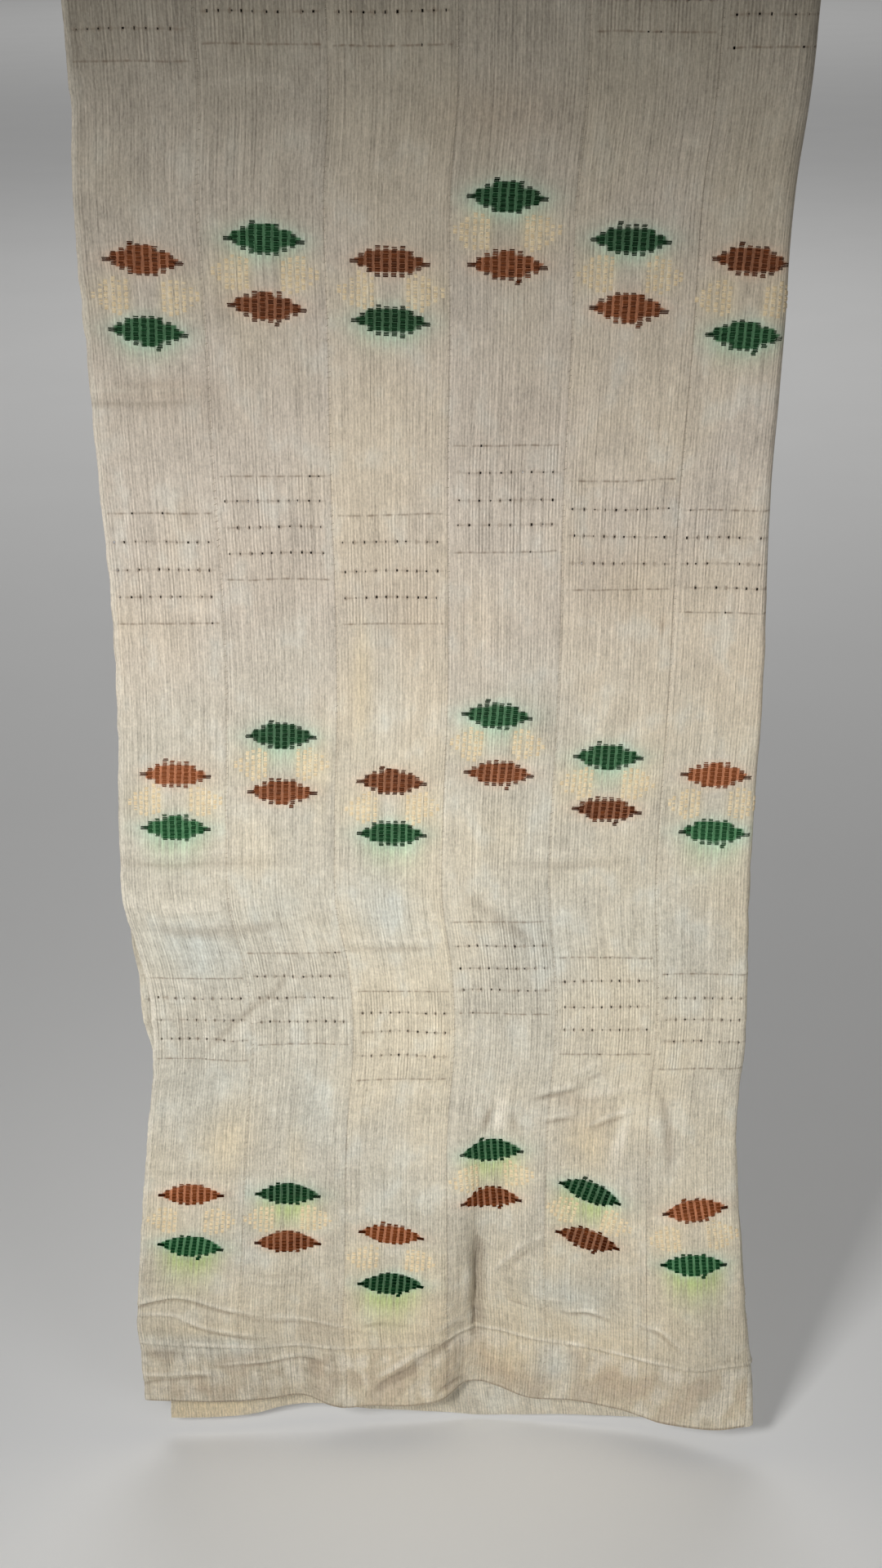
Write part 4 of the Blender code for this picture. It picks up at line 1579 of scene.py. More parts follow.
class NodeBoard:
    """Lays out the nodes of one material."""

    def __init__(self, name: str) -> None:
        """Start a material.

        Args:
            name: the material's name.
        """
        self.material = bpy.data.materials.new(name)
        self.material.use_nodes = True
        self.tree = self.material.node_tree
        self.shader = self.tree.nodes["Principled BSDF"]

    def join(self, value: Socket | float | Colour, socket: Socket) -> None:
        """Link a socket to another, or set its value."""
        if isinstance(value, bpy.types.NodeSocket):
            self.tree.links.new(value, socket)
        elif isinstance(value, tuple) and len(socket.default_value) == 4:
            socket.default_value = (*value, 1.0)
        else:
            socket.default_value = value

    def math(self, operation: str, *values: Socket | float) -> Socket:
        """A calculation on one, two or three values."""
        node = self.tree.nodes.new("ShaderNodeMath")
        node.operation = operation
        for value, socket in zip(values, node.inputs):
            self.join(value, socket)
        return node.outputs[0]

    def times(self, *values: Socket | float) -> Socket:
        """Two or more values multiplied, from the first on."""
        result = values[0]
        for value in values[1:]:
            result = self.math("MULTIPLY", result, value)
        return result

    def times_plus(self, value: Socket, factor: Socket | float, extra: Socket | float) -> Socket:
        """A value multiplied by a factor, and more added."""
        return self.math("MULTIPLY_ADD", value, factor, extra)

    def less(self, value: Socket | float, taken: Socket | float) -> Socket:
        """A value with another taken from it."""
        return self.math("SUBTRACT", value, taken)

    def apart(self, first: Socket, second: Socket | float) -> Socket:
        """How far two values are apart."""
        return self.math("ABSOLUTE", self.less(first, second))

    def cloth_place(self) -> tuple[Socket, Socket]:
        """Distance along the cloth and height, as set_uv stored them."""
        node = self.tree.nodes.new("ShaderNodeUVMap")
        node.uv_map = CLOTH_MAP
        u, v, _ = self.parts(node.outputs[0])
        return u, v

    def place(self, x: Socket | float, y: Socket | float, z: Socket | float = 0.0) -> Socket:
        """A vector of three values."""
        node = self.tree.nodes.new("ShaderNodeCombineXYZ")
        for value, socket in zip((x, y, z), node.inputs):
            self.join(value, socket)
        return node.outputs[0]

    def parts(self, vector: Socket) -> tuple[Socket, Socket, Socket]:
        """The three values of a vector."""
        node = self.tree.nodes.new("ShaderNodeSeparateXYZ")
        self.join(vector, node.inputs[0])
        return tuple(node.outputs)

    def attribute(self, name: str) -> bpy.types.Node:
        """The node that reads a piece's own attribute."""
        node = self.tree.nodes.new("ShaderNodeAttribute")
        node.attribute_name = name
        return node

    def noise(self, x: Socket, y: Socket, detail: float = 2.0, seed: float = 0.0) -> Socket:
        """Smooth noise, about 0.5, over a place whose units are one lump."""
        node = self.tree.nodes.new("ShaderNodeTexNoise")
        self.join(self.place(x, y, seed), node.inputs["Vector"])
        node.inputs["Scale"].default_value = 1.0
        node.inputs["Detail"].default_value = detail
        return node.outputs["Fac"]

    def grain(
        self,
        place: tuple[Socket, Socket],
        per_u: float,
        per_v: float,
        detail: float = 2.0,
        seed: float = 0.0,
    ) -> Socket:
        """Noise over a place, with so many lumps to the metre each way."""
        return self.noise(self.times(place[0], per_u), self.times(place[1], per_v), detail, seed)

    def chance(self, x: Socket | float, y: Socket | float, z: Socket | float = 0.0) -> Socket:
        """A random number for each whole place."""
        node = self.tree.nodes.new("ShaderNodeTexWhiteNoise")
        self.join(self.place(x, y, z), node.inputs["Vector"])
        return node.outputs["Value"]

    def spread(
        self, value: Socket, low: float, high: float, to_low: float = 0.0, to_high: float = 1.0
    ) -> Socket:
        """A value carried smoothly from one range to another."""
        node = self.tree.nodes.new("ShaderNodeMapRange")
        node.interpolation_type = "SMOOTHSTEP"
        for number, socket in zip((value, low, high, to_low, to_high), node.inputs):
            self.join(number, socket)
        return node.outputs[0]

    def mix(
        self,
        share: Socket | float,
        first: Socket | Colour,
        second: Socket | Colour,
        blend: str = "MIX",
    ) -> Socket:
        """Two colours mixed by a share."""
        node = self.tree.nodes.new("ShaderNodeMix")
        node.data_type = "RGBA"
        node.blend_type = blend
        self.join(share, node.inputs[0])
        self.join(first, node.inputs[6])
        self.join(second, node.inputs[7])
        return node.outputs[2]

    def grey(self, value: Socket) -> Socket:
        """A grey of one value."""
        node = self.tree.nodes.new("ShaderNodeCombineColor")
        for socket in node.inputs:
            self.join(value, socket)
        return node.outputs[0]

    def total(self, *terms: tuple[Socket, float]) -> Socket:
        """A weighted sum of several values."""
        result = self.math("MULTIPLY", *terms[0])
        for value, weight in terms[1:]:
            result = self.math("MULTIPLY_ADD", value, weight, result)
        return result

    def finish(
        self,
        colour: Socket,
        roughness: float,
        height: Socket,
        distance: float,
        sheen: float,
        shine: float = 0.20,
    ) -> Material:
        """Connect the surface.

        Args:
            colour: the surface's colour.
            roughness: its roughness.
            height: its fine relief, in shares of the distance.
            distance: the relief's size in metres.
            sheen: the strength of its nap.
            shine: its specular level.

        Returns:
            The material.
        """
        self.join(colour, self.shader.inputs["Base Color"])
        self.shader.inputs["Roughness"].default_value = roughness
        self.shader.inputs["Sheen Weight"].default_value = sheen
        self.shader.inputs["Specular IOR Level"].default_value = shine
        bump = self.tree.nodes.new("ShaderNodeBump")
        bump.inputs["Strength"].default_value = 1.0
        bump.inputs["Distance"].default_value = distance
        self.join(height, bump.inputs["Height"])
        self.join(bump.outputs[0], self.shader.inputs["Normal"])
        return self.material


@dataclass(frozen=True)
class WovenCotton:
    """Old undyed hand-spun cotton in warp-faced plain weave, washed and stained, with painted shade and
    highlight in its creases, openwork, hem and top.
    """

    base: Colour = (0.640, 0.562, 0.465)
    low_base: Colour = (0.600, 0.553, 0.450)
    low_brown: Colour = (0.530, 0.450, 0.315)
    # A dark grey for the painted shade towards the top.
    top_shade_grey: Colour = (0.370, 0.330, 0.258)
    yellowed: Colour = (0.660, 0.545, 0.360)
    browned: Colour = (0.400, 0.300, 0.205)
    blued: Colour = (0.540, 0.560, 0.510)
    mint_halo: Colour = (0.430, 0.570, 0.440)
    mint_run: Colour = (0.440, 0.580, 0.400)
    lime_run: Colour = (0.470, 0.545, 0.225)
    green_deep: Colour = (0.034, 0.126, 0.049)
    rust_halo: Colour = (0.700, 0.490, 0.350)
    rust_deep: Colour = (0.290, 0.099, 0.040)
    gold_run: Colour = (0.700, 0.590, 0.385)
    # A dark brown for the painted shade of the openwork's lines, slits and hole rims.
    openwork_shade_brown: Colour = (0.170, 0.120, 0.080)
    # A pale cream for worn patches in the hem, and for painted highlight on crease crests and the free
    # selvedge.
    worn_and_highlight_pale: Colour = (0.760, 0.700, 0.580)
    # A dark brown for painted shade in the creases' troughs and painted shadow under the front's bottom
    # edge.
    painted_shade_brown: Colour = (0.270, 0.215, 0.155)
    rib_width: float = 0.0030
    thread_width: float = 0.0011
    pick_width: float = 0.0014
    roughness: float = 0.93
    relief: float = 0.00065
    nap: float = 0.05

    def make(self) -> Material:
        """Make the cotton's material.

        Returns:
            The material.
        """
        board = NodeBoard("cream_hand_woven_cotton")
        u, v = board.cloth_place()

        def scaled(per_u: float, per_v: float, detail: float, seed: float) -> Socket:
            """Noise with so many lumps to the metre each way."""
            return board.grain((u, v), per_u, per_v, detail, seed)

        fine = scaled(900.0, 85.0, 1.0, 1.0)
        middling = scaled(330.0, 9.0, 1.0, 2.0)
        speck = scaled(560.0, 330.0, 1.0, 3.0)
        patch = scaled(34.0, 22.0, 3.0, 4.0)
        broad = scaled(8.0, 5.0, 2.0, 5.0)
        wander = scaled(30.0, 2.5, 1.0, 6.0)
        strip = board.math("FLOOR", board.math("DIVIDE", u, STRIP_WIDTH))
        strip_chance = board.chance(strip, 3.0)
        rib_place = board.times_plus(u, 1.0 / self.rib_width, wander)
        rib = board.math("SINE", board.times(rib_place, 2 * pi))
        rib_kind = board.chance(board.math("FLOOR", board.less(rib_place, 0.25)), 8.0)
        rib = board.times(rib, board.times_plus(rib_kind, 1.2, 0.2))
        thread = board.math("SINE", board.times(u, 2 * pi / self.thread_width))
        pick = board.math("SINE", board.times(v, 2 * pi / self.pick_width))

        colour = self._ground(board, u, v, patch, broad, strip_chance)
        unevenness = (
            (fine, 0.74), (middling, 0.62), (speck, 0.50), (patch, 0.44), (broad, 0.30), (rib, 0.105),
            (strip_chance, 0.05),
        )
        # Every part but the ribs is about a half on average
        usual = sum(weight for noise, weight in unevenness if noise is not rib) / 2
        light = board.math("ADD", board.total(*unevenness), 1.0 - usual)
        run, relief_shading, tone = board.parts(board.attribute("marks").outputs["Vector"])
        low = board.spread(v, 0.62, 0.95, 1.0, 0.0)
        crinkle = scaled(70.0, 190.0, 2.0, 7.0)
        crinkle = board.times(board.less(crinkle, 0.5), low)
        # The crinkle lightens and darkens the colour too, along with its bump: painted light and shade
        # on the fine wrinkles.
        light = board.times_plus(crinkle, 0.30, light)
        colour = self._stains(board, colour, patch, fine)
        # Painted highlight on the creases' crests and the hem line, painted shade in their troughs.
        colour = self._paint_relief_shading(board, colour, relief_shading, patch)
        colour = self._run(board, colour, run, v, middling)
        colour = self._dye(board, colour, fine, patch, tone)
        colour = board.mix(1.0, colour, board.grey(light), "MULTIPLY")
        colour, cuts = self._openwork(board, colour, u, v, fine)
        seam = board.math("PINGPONG", u, STRIP_WIDTH / 2)
        near_seam = board.spread(seam, 0.0002, 0.0014, 1.0, 0.0)
        colour = board.mix(board.times(near_seam, 0.06), colour, self.browned)
        height = board.total(
            (fine, 0.55), (middling, 0.50), (speck, 0.35), (rib, 0.16), (thread, 0.07),
            (pick, 0.05), (cuts, -0.8), (crinkle, 1.6),
        )
        return board.finish(colour, self.roughness, height, self.relief, self.nap)

    def _ground(
        self,
        board: NodeBoard,
        u: Socket,
        v: Socket,
        patch: Socket,
        broad: Socket,
        strip_chance: Socket,
    ) -> Socket:
        """The unstained cotton, blotched in the hem and uneven all over, with painted shade greying the
        top, a painted shadow under the front's bottom edge and a painted highlight on the free
        selvedge.

        Args:
            board: the material's nodes.
            u: distance along the cloth.
            v: height.
            patch: blotches of a few centimetres.
            broad: slow changes over a hand's breadth or more.
            strip_chance: a number for each strip.

        Returns:
            The colour.
        """
        # The browning low down and the hem's soiling go on the front layer only, leaving the back
        # layer's hem paler: painted light where it lies in the front layer's shade.
        in_front = board.math("LESS_THAN", u, FRONT_STRIPS * STRIP_WIDTH)
        wavy = board.times_plus(broad, 0.30, v)
        colour = board.mix(board.spread(wavy, 0.90, 1.15, 1.0, 0.0), self.base, self.low_base)
        browner = board.times(board.spread(wavy, 0.24, 0.46, 0.46, 0.0), in_front)
        colour = board.mix(browner, colour, self.low_brown)
        shift = board.times_plus(strip_chance, 0.25, board.less(broad, 0.12))
        colour = board.mix(board.spread(shift, 0.38, 0.72, 0.0, 0.35), colour, self.yellowed)
        cool = board.spread(patch, 0.50, 0.72, 0.0, 0.30)
        colour = board.mix(cool, colour, self.blued)
        # Painted shade, greying and darkening the cotton towards the top.
        ragged = board.times_plus(broad, 0.35, v)
        top = board.spread(ragged, 1.22, 1.84, 0.0, 1.0)
        colour = board.mix(top, colour, self.top_shade_grey)
        hem = board.spread(v, HEM_DEPTH - 0.012, HEM_DEPTH, 1.0, 0.0)
        hem = board.times(hem, in_front)
        soiled = board.times(hem, board.spread(patch, 0.46, 0.60, 0.0, 0.40))
        colour = board.mix(soiled, colour, self.browned)
        rubbed = board.times(hem, board.spread(patch, 0.50, 0.36, 0.0, 0.60))
        colour = board.mix(rubbed, colour, self.worn_and_highlight_pale)
        # A painted shadow along the front layer's bottom edge, where it hangs over the back layer.
        hem_edge_shadow = board.times(board.spread(v, 0.0016, 0.0040, 0.62, 0.0), in_front)
        colour = board.mix(hem_edge_shadow, colour, self.painted_shade_brown)
        # A painted highlight along the rolled free selvedge.
        selvedge = board.spread(u, 0.0030, 0.0075, 0.42, 0.0)
        return board.mix(selvedge, colour, self.worn_and_highlight_pale)

    def _stains(self, board: NodeBoard, colour: Socket, patch: Socket, fine: Socket) -> Socket:
        """Add the brown, yellow and grey-blue stains, ragged along the threads.

        Args:
            board: the material's nodes.
            colour: the colour so far.
            patch: blotches of a few centimetres.
            fine: the streaks along the threads.

        Returns:
            The new colour.
        """
        brown, yellow, blue = board.parts(board.attribute("stain").outputs["Vector"])
        ragged = board.total((patch, 1.3), (fine, 0.5))
        for amount, stain, strength in (
            (brown, self.browned, 0.62), (yellow, self.yellowed, 0.95), (blue, self.blued, 0.95),
        ):
            share = board.times(amount, ragged, strength)
            colour = board.mix(share, colour, stain)
        return colour

    def _paint_relief_shading(self, board: NodeBoard, colour: Socket, relief_shading: Socket, patch: Socket) -> Socket:
        """Paint highlight on the creases' crests and shade in their troughs, from their relief.

        Args:
            board: the material's nodes.
            colour: the colour so far.
            relief_shading: one on a crest, less than nought in a trough.
            patch: blotches of a few centimetres.

        Returns:
            The new colour.
        """
        ragged = board.spread(patch, 0.30, 0.62, 0.55, 1.0)
        crest = board.times(board.spread(relief_shading, 0.10, 1.40, 0.0, 0.78), ragged)
        trough = board.times(board.spread(relief_shading, -0.10, -1.10, 0.0, 0.62), ragged)
        # Painted highlight on the crests.
        colour = board.mix(crest, colour, self.worn_and_highlight_pale)
        # Painted shade in the troughs.
        return board.mix(trough, colour, self.painted_shade_brown)

    def _run(
        self, board: NodeBoard, colour: Socket, run: Socket, v: Socket, middling: Socket
    ) -> Socket:
        """Add the dye that has run down below the greens: mint high up, yellower low down.

        Args:
            board: the material's nodes.
            colour: the colour so far.
            run: how much dye has run down.
            v: height.
            middling: broader streaks along the threads.

        Returns:
            The new colour.
        """
        tone = board.mix(board.spread(v, 0.35, 0.85), self.lime_run, self.mint_run)
        streaky = board.spread(middling, 0.32, 0.62, 0.65, 1.0)
        return board.mix(board.times(run, streaky), colour, tone)

    def _dye(
        self, board: NodeBoard, colour: Socket, fine: Socket, patch: Socket, tone: Socket
    ) -> Socket:
        """Add the dye that has spread round the yarns, as light or deep as theirs.

        Args:
            board: the material's nodes.
            colour: the colour so far.
            fine: the streaks along the threads.
            patch: blotches of a few centimetres.
            tone: how light the nearest motif's yarn is.

        Returns:
            The new colour.
        """
        lightness = board.grey(board.spread(tone, 0.0, 1.0, 0.62, 1.48))
        green, rust, gold = board.parts(board.attribute("dye").outputs["Vector"])
        ragged = board.total((fine, 0.8), (patch, 1.2))
        for amount, run, deep, strength in (
            (gold, self.gold_run, self.gold_run, 0.48),
            (rust, self.rust_halo, self.rust_deep, 0.46),
            (green, self.mint_halo, self.green_deep, 0.58),
        ):
            share = board.times(amount, ragged, strength)
            colour = board.mix(share, colour, run)
            if deep is not run:
                inside = board.spread(amount, 0.86, 1.0, 0.0, 0.92)
                colour = board.mix(inside, colour, board.mix(1.0, deep, lightness, "MULTIPLY"))
        return colour

    def _openwork(
        self, board: NodeBoard, colour: Socket, u: Socket, v: Socket, fine: Socket
    ) -> tuple[Socket, Socket]:
        """Draw the openwork's thin lines, its slits and the rims of its holes, all as painted shade.

        Args:
            board: the material's nodes.
            colour: the colour so far.
            u: distance along the cloth.
            v: height.
            fine: the streaks along the threads.

        Returns:
            The colour, and how deep the cloth is drawn in.
        """
        line, share, hole = board.parts(board.attribute("openwork").outputs["Vector"])
        line_number = board.math("ROUND", line)
        off_line = board.apart(line, line_number)
        rank = board.math("FLOORED_MODULO", line_number, 10.0)
        outer_rank = board.apart(rank, 2.0)
        is_outer = board.math("GREATER_THAN", outer_rank, 1.5)
        strip = board.math("FLOOR", board.math("DIVIDE", u, STRIP_WIDTH))
        key = board.times_plus(strip, 37.0, line_number)
        along_line = board.noise(board.times(u, 130.0), key, 2.0, 9.0)
        in_strip = board.apart(hole, 4.55)
        in_strip = board.spread(in_strip, 4.9, 5.2, 1.0, 0.0)
        # The thin lines: painted shade along the openwork's lines.
        drawn = board.spread(off_line, 0.006, 0.060, 1.0, 0.0)
        strength = board.times_plus(is_outer, 0.17, 0.22)
        strength = board.times(strength, board.spread(along_line, 0.32, 0.66, 0.15, 1.6))
        drawn = board.times(drawn, strength, share)
        drawn = board.times(drawn, in_strip)

        # The rims: painted shade round each hole.
        hole_number = board.math("ROUND", hole)
        off_hole = board.less(hole, hole_number)
        reach_x = board.times(off_hole, 1.0 / 0.21)
        reach_y = board.times(off_line, 1.0 / 0.120)
        hole_rim_shade = board.math("ADD", board.math("POWER", reach_x, 2.0), board.math("POWER", reach_y, 2.0))
        hole_rim_shade = board.spread(hole_rim_shade, 0.15, 1.0, 0.75, 0.0)
        rim_chance = board.chance(hole_number, key, 4.0)
        hole_rim_shade = board.times(hole_rim_shade, board.times_plus(rim_chance, 0.60, 0.15))
        hole_rim_shade = board.times(hole_rim_shade, board.less(1.0, is_outer))
        hole_rim_shade = board.times(hole_rim_shade, share, in_strip)

        # The slits: painted shade in the gaps between bundles of warp.
        slit_line = board.math("FLOOR", line)
        slit_key = board.times_plus(strip, 53.0, slit_line)
        sway = board.grain((u, v), 110.0, 75.0, 1.0, 12.0)
        swayed = board.times_plus(board.less(sway, 0.5), 0.16, hole)
        slits = self._slits(board, swayed, 1.0, slit_key, 0.0, fine)
        slits = board.math("MAXIMUM", slits, self._slits(board, swayed, 3.0, slit_key, 5.0, fine))
        rank_below = board.math("FLOORED_MODULO", slit_line, 10.0)
        between = board.times(board.math("LESS_THAN", rank_below, 3.5), share)
        between = board.times(between, in_strip)
        slits = board.times(slits, between)

        # Painted light and shade across the rounded bundles of warp between the slits.
        thirds = board.times_plus(swayed, 3.0, 0.5)
        bundle_shading = board.math("COSINE", board.times(thirds, 2 * pi))
        bundle_kind = board.chance(board.math("FLOOR", thirds), slit_key, 6.0)
        bundle_shading = board.times(bundle_shading, board.times_plus(bundle_kind, 0.15, 0.01))
        bundle_shading = board.times_plus(bundle_shading, between, 1.0)
        colour = board.mix(1.0, colour, board.grey(bundle_shading), "MULTIPLY")
        # A soft brown band either side of each line, widening its painted shade.
        soft_line_shade = board.spread(off_line, 0.02, 0.20, 0.20, 0.0)
        soft_line_shade = board.times(soft_line_shade, board.spread(along_line, 0.42, 0.70))
        soft_line_shade = board.times(soft_line_shade, share, in_strip)
        colour = board.mix(soft_line_shade, colour, self.browned)

        # The lines, rims and slits together: painted shade in the openwork, which also sinks its bump.
        dark = board.math("MAXIMUM", board.math("MAXIMUM", drawn, hole_rim_shade), slits)
        return board.mix(dark, colour, self.openwork_shade_brown), dark

    @staticmethod
    def _slits(
        board: NodeBoard, hole: Socket, count: float, key: Socket, seed: float, fine: Socket
    ) -> Socket:
        """Thin upright slits between two lines, this many to each hole.

        Args:
            board: the material's nodes.
            hole: the holes' count across the strip.
            count: slits to each hole.
            key: a number for each row of slits.
            seed: a number for this set of slits.
            fine: the streaks along the threads.

        Returns:
            How much painted shade the slit gets.
        """
        place = board.times(hole, count)
        number = board.math("ROUND", place)
        off = board.apart(place, number)
        chance = board.chance(number, key, seed)
        width = 0.045 * count
        mark = board.spread(off, 0.2 * width, 1.6 * width, 1.0, 0.0)
        strength = board.spread(chance, 0.25, 1.0, 0.0, 0.26 if count == 1.0 else 0.20)
        broken = board.spread(fine, 0.36, 0.58, 0.4, 1.0)
        return board.times(mark, strength, broken)


@dataclass(frozen=True)
class InlayYarn:
    """Soft loosely spun yarn of one colour."""

    name: str
    dark: Colour
    light: Colour
    roughness: float = 0.90
    sheen: float = 0.0
    shine: float = 0.0

    def make(self) -> Material:
        """Make the yarn's material.

        Returns:
            The material.
        """
        board = NodeBoard(self.name)
        u, v = board.cloth_place()
        slant = board.times_plus(v, 0.6, u)
        twist = board.math("SINE", board.times(slant, 2 * pi / 0.0009))
        fuzz = board.grain((u, v), 900.0, 900.0)
        fade = board.grain((u, v), 60.0, 60.0)
        shade = board.attribute("shade").outputs["Fac"]
        share = board.total((shade, 0.75), (fuzz, 0.30), (fade, 0.55))
        share = board.spread(share, 0.30, 1.15, 0.0, 1.0)
        colour = board.mix(share, self.dark, self.light)
        height = board.total((twist, 0.35), (fuzz, 0.8))
        return board.finish(colour, self.roughness, height, 0.00025, self.sheen, self.shine)


@dataclass(frozen=True)
class SewingCotton:
    """Plain pale sewing thread, a little soiled."""

    pale: Colour = (0.600, 0.550, 0.450)
    soiled: Colour = (0.470, 0.410, 0.320)

    def make(self) -> Material:
        """Make the thread's material.

        Returns:
            The material.
        """
        board = NodeBoard("pale_sewing_cotton")
        u, v = board.cloth_place()
        soil = board.grain((u, v), 70.0, 70.0)
        fuzz = board.grain((u, v), 1500.0, 1500.0)
        colour = board.mix(board.spread(soil, 0.40, 0.70), self.pale, self.soiled)
        return board.finish(colour, 0.90, fuzz, 0.0002, 0.10)


@dataclass(frozen=True)
class StudioFloor:
    """A matt pale painted floor."""

    pale: Colour = (0.86, 0.855, 0.84)
    worn: Colour = (0.82, 0.815, 0.80)

    def make(self) -> Material:
        """Make the floor's material.

        Returns:
            The material.
        """
        board = NodeBoard("pale_studio_floor")
        place = board.tree.nodes.new("ShaderNodeTexCoord")
        x, y, _ = board.parts(place.outputs["Object"])
        mottle = board.grain((x, y), 2.0, 2.0, 4.0)
        grain = board.grain((x, y), 300.0, 300.0)
        colour = board.mix(mottle, self.pale, self.worn)
        return board.finish(colour, 0.85, grain, 0.0001, 0.0)


@dataclass
class Inlay:
    """The woven-in motifs of one layer: green, rust and gold yarn."""

    side: str
    first_strip: int
    last_strip: int
    seed: int
    petal_pitch_share: float = 1.15
    petal_presence: float = 0.92

    def build(self, drape: Drape, yarns: dict[Yarn, Material]) -> dict[Yarn, Piece]:
        """Weave in the pairs of spindles and their petals.

        Args:
            drape: the hanging cloth's surface.
            yarns: the material of each yarn.

        Returns:
            The piece of each yarn.
        """
        piles = {
            GREEN: FloatPile(),
            RUST: FloatPile(),
            GOLD: FloatPile(rise=0.00080, group_gap=0.0012),
        }
        rng = np.random.default_rng(self.seed)
        spindle = Spindle()
        petals = Petals()
        for pair in MOTIF_PAIRS:
            if not self.first_strip <= pair.strip <= self.last_strip:
                continue
            start = (pair.strip - 1) * STRIP_WIDTH
            for upper, place in zip((True, False), pair.spindles()):
                origin = (start + place.along, place.height)
                lean = radians(place.lean)
                for block in spindle.columns(rng, upper):
                    piles[place.yarn].add_block(
                        origin, lean, block, rng, tone=place.fading.value
                    )
            middle, centre = pair.middle()
            origin = (start + middle, centre)
            lean = radians((pair.upper_lean + pair.lower_lean) / 2)
            for block in petals.columns(rng):
                piles[GOLD].add_block(
                    origin, lean, block, rng, self.petal_pitch_share, self.petal_presence
                )
        return {
            yarn: pile.build(f"{yarn.value}_inlay_{self.side}", drape, yarns[yarn])
            for yarn, pile in piles.items()
        }


@dataclass
class Sewing:
    """The whipped seams between the strips, and the hem's slanting stitches."""

    seam_pitch: float = 0.0065
    seam_half_length: float = 0.0016
    hem_pitch: float = 0.0075
    hem_half_length: float = 0.0017
    seam_margin: float = 0.004
    hem_margin: float = 0.003
    below_hem_line: float = 0.0020
    seed: int = 17

    def build(self, drape: Drape, material: Material) -> tuple[Piece, Piece]:
        """Sew the seams and the hem.

        Args:
            drape: the hanging cloth's surface.
            material: the thread.

        Returns:
            The seams' piece and the hem's piece.
        """
        rng = np.random.default_rng(self.seed)
        seams = ThreadRun()
        for seam in range(1, STRIP_COUNT):
            up = self.seam_margin
            while up < LENGTH - self.seam_margin:
                angle = radians(rng.normal(22.0, 9.0))
                half = self.seam_half_length * rng.uniform(0.8, 1.25)
                along = seam * STRIP_WIDTH + rng.normal(0.0, 0.00015)
                seams.add(along, up, half, angle, rng.uniform(0.75, 1.15))
                up += self.seam_pitch * rng.uniform(0.75, 1.25)
        hems = ThreadRun()
        along = self.hem_margin
        while along < CLOTH_WIDTH - self.hem_margin:
            angle = radians(rng.normal(35.0, 14.0))
            half = self.hem_half_length * rng.uniform(0.7, 1.2)
            up = HEM_DEPTH - self.below_hem_line + rng.normal(0.0, 0.0004)
            hems.add(along, up, half, angle, rng.uniform(0.8, 1.1))
            along += self.hem_pitch * rng.uniform(0.75, 1.25)
        return (
            seams.build("joining_stitches", drape, material),
            hems.build("hem_stitches", drape, material),
        )


@dataclass(frozen=True)
class Lamp:
    """A large soft studio lamp, its beam narrowed by a grid of so many degrees."""

    name: str
    place: tuple[float, float, float]
    aim: tuple[float, float, float]
    size: float
    power: float
    beam: float = 180.0

    def build(self) -> Piece:
        """Set the lamp up."""
        light = bpy.data.lights.new(self.name, "AREA")
        light.shape = "SQUARE"
        light.size = self.size
        light.energy = self.power
        light.spread = radians(self.beam)
        lamp = bpy.data.objects.new(self.name, light)
        lamp.location = self.place
        direction = Vector(self.aim) - Vector(self.place)
        lamp.rotation_euler = direction.to_track_quat("-Z", "Y").to_euler()
        lamp.visible_camera = False
        bpy.context.scene.collection.objects.link(lamp)
        return lamp


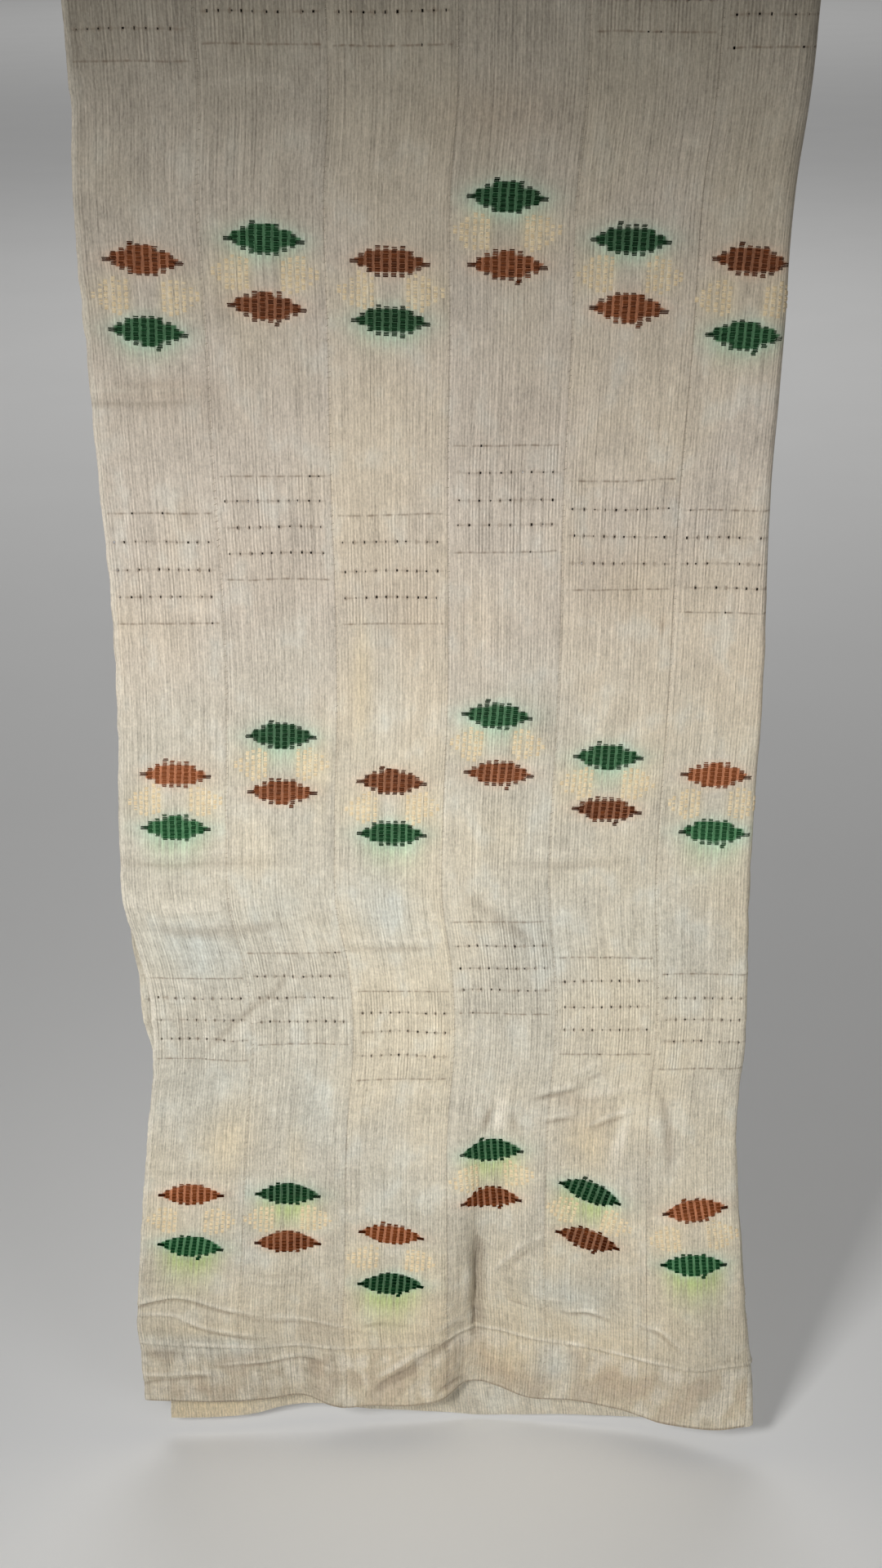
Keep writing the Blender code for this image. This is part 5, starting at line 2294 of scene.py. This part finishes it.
@dataclass
class Studio:
    """The wide pale floor, the soft light and the camera."""

    floor_level: float = -1.8375
    floor_radius: float = 45.0
    floor_corners: int = 96
    lens: float = 50.0
    sensor: float = 36.0
    camera_place: tuple[float, float, float] = (0.0, -2.0136, -0.1793)
    pitch_down: float = 22.8
    roll: float = 0.4
    view_limit: float = 300.0
    sky: Colour = (0.90, 0.91, 0.93)
    sky_strength: float = 0.13
    lamps: tuple[Lamp, ...] = (
        Lamp("key_lamp", (-0.80, -1.65, -0.35), (-0.03, 0.0, -1.34), 0.45, 5.9, 76.0),
        Lamp("fill_lamp", (0.95, -1.50, -1.05), (0.08, 0.0, -1.28), 0.90, 2.4, 100.0),
        Lamp("back_lamp", (0.2, 6.0, 4.0), (0.2, 6.0, 0.0), 5.0, 150.0),
        Lamp("far_lamp", (0.2, 26.0, 12.0), (0.2, 26.0, 0.0), 18.0, 1000.0),
    )

    def build(self) -> None:
        """Set up the floor, the lamps, the sky and the camera."""
        self._make_floor()
        for lamp in self.lamps:
            lamp.build()
        world = bpy.data.worlds.new("soft_studio")
        world.use_nodes = True
        background = world.node_tree.nodes["Background"]
        background.inputs["Color"].default_value = (*self.sky, 1.0)
        background.inputs["Strength"].default_value = self.sky_strength
        bpy.context.scene.world = world
        bpy.context.scene.view_settings.view_transform = "Standard"
        self._place_camera()

    def _make_floor(self) -> Piece:
        """Make the flat round floor, wide enough to fill the picture."""
        turn = np.arange(self.floor_corners) * 2 * pi / self.floor_corners
        level = np.full_like(turn, self.floor_level)
        points = np.stack([np.cos(turn), np.sin(turn), level], axis=-1)
        points[:, :2] *= self.floor_radius
        mesh = bpy.data.meshes.new("studio_floor")
        mesh.from_pydata(points.tolist(), [], [list(range(self.floor_corners))])
        mesh.materials.append(StudioFloor().make())
        floor = bpy.data.objects.new("studio_floor", mesh)
        bpy.context.scene.collection.objects.link(floor)
        return floor

    def _place_camera(self) -> None:
        """Stand the camera where the photograph was taken from."""
        data = bpy.data.cameras.new("photo_camera")
        data.lens = self.lens
        data.sensor_width = self.sensor
        data.clip_end = self.view_limit
        camera = bpy.data.objects.new("photo_camera", data)
        tilt = radians(self.pitch_down)
        roll = radians(self.roll)
        right = Vector((1.0, 0.0, 0.0))
        up = Vector((0.0, sin(tilt), cos(tilt)))
        forward = Vector((0.0, cos(tilt), -sin(tilt)))
        camera_right = cos(roll) * right - sin(roll) * up
        camera_up = sin(roll) * right + cos(roll) * up
        turn = Matrix((camera_right, camera_up, -forward)).transposed()
        camera.matrix_world = Matrix.Translation(self.camera_place) @ turn.to_4x4()
        bpy.context.scene.collection.objects.link(camera)
        bpy.context.scene.camera = camera


def report(piece: Piece) -> None:
    """Log a piece's name and how many faces it has."""
    log.info("%s: %d faces", piece.name, len(piece.data.polygons))


def main() -> None:
    """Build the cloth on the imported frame, and the studio round it."""
    logging.basicConfig(level=logging.INFO, format="%(message)s")
    Studio().build()
    drape = Drape()
    cotton = WovenCotton().make()
    yarns = {
        GREEN: InlayYarn("green_yarn", (0.001, 0.010, 0.003), (0.009, 0.056, 0.018)).make(),
        RUST: InlayYarn("rust_yarn", (0.036, 0.008, 0.003), (0.200, 0.056, 0.017)).make(),
        GOLD: InlayYarn("pale_gold_yarn", (0.720, 0.570, 0.350), (0.920, 0.770, 0.520)).make(),
    }
    front = Inlay("front", 1, FRONT_STRIPS, 23).build(drape, yarns)
    back = Inlay("back", FRONT_STRIPS + 1, STRIP_COUNT, 29).build(drape, yarns)
    seams, hems = Sewing().build(drape, SewingCotton().make())
    for piece in (*front.values(), *back.values(), seams, hems):
        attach(piece, BODY)
        report(piece)

    for number in range(1, STRIP_COUNT + 1):
        strip = StripCloth.of(number)
        piece = strip.build(drape, cotton)
        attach(piece, BODY)
        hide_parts(strip.node)
        report(piece)


if __name__ == "__main__":
    main()
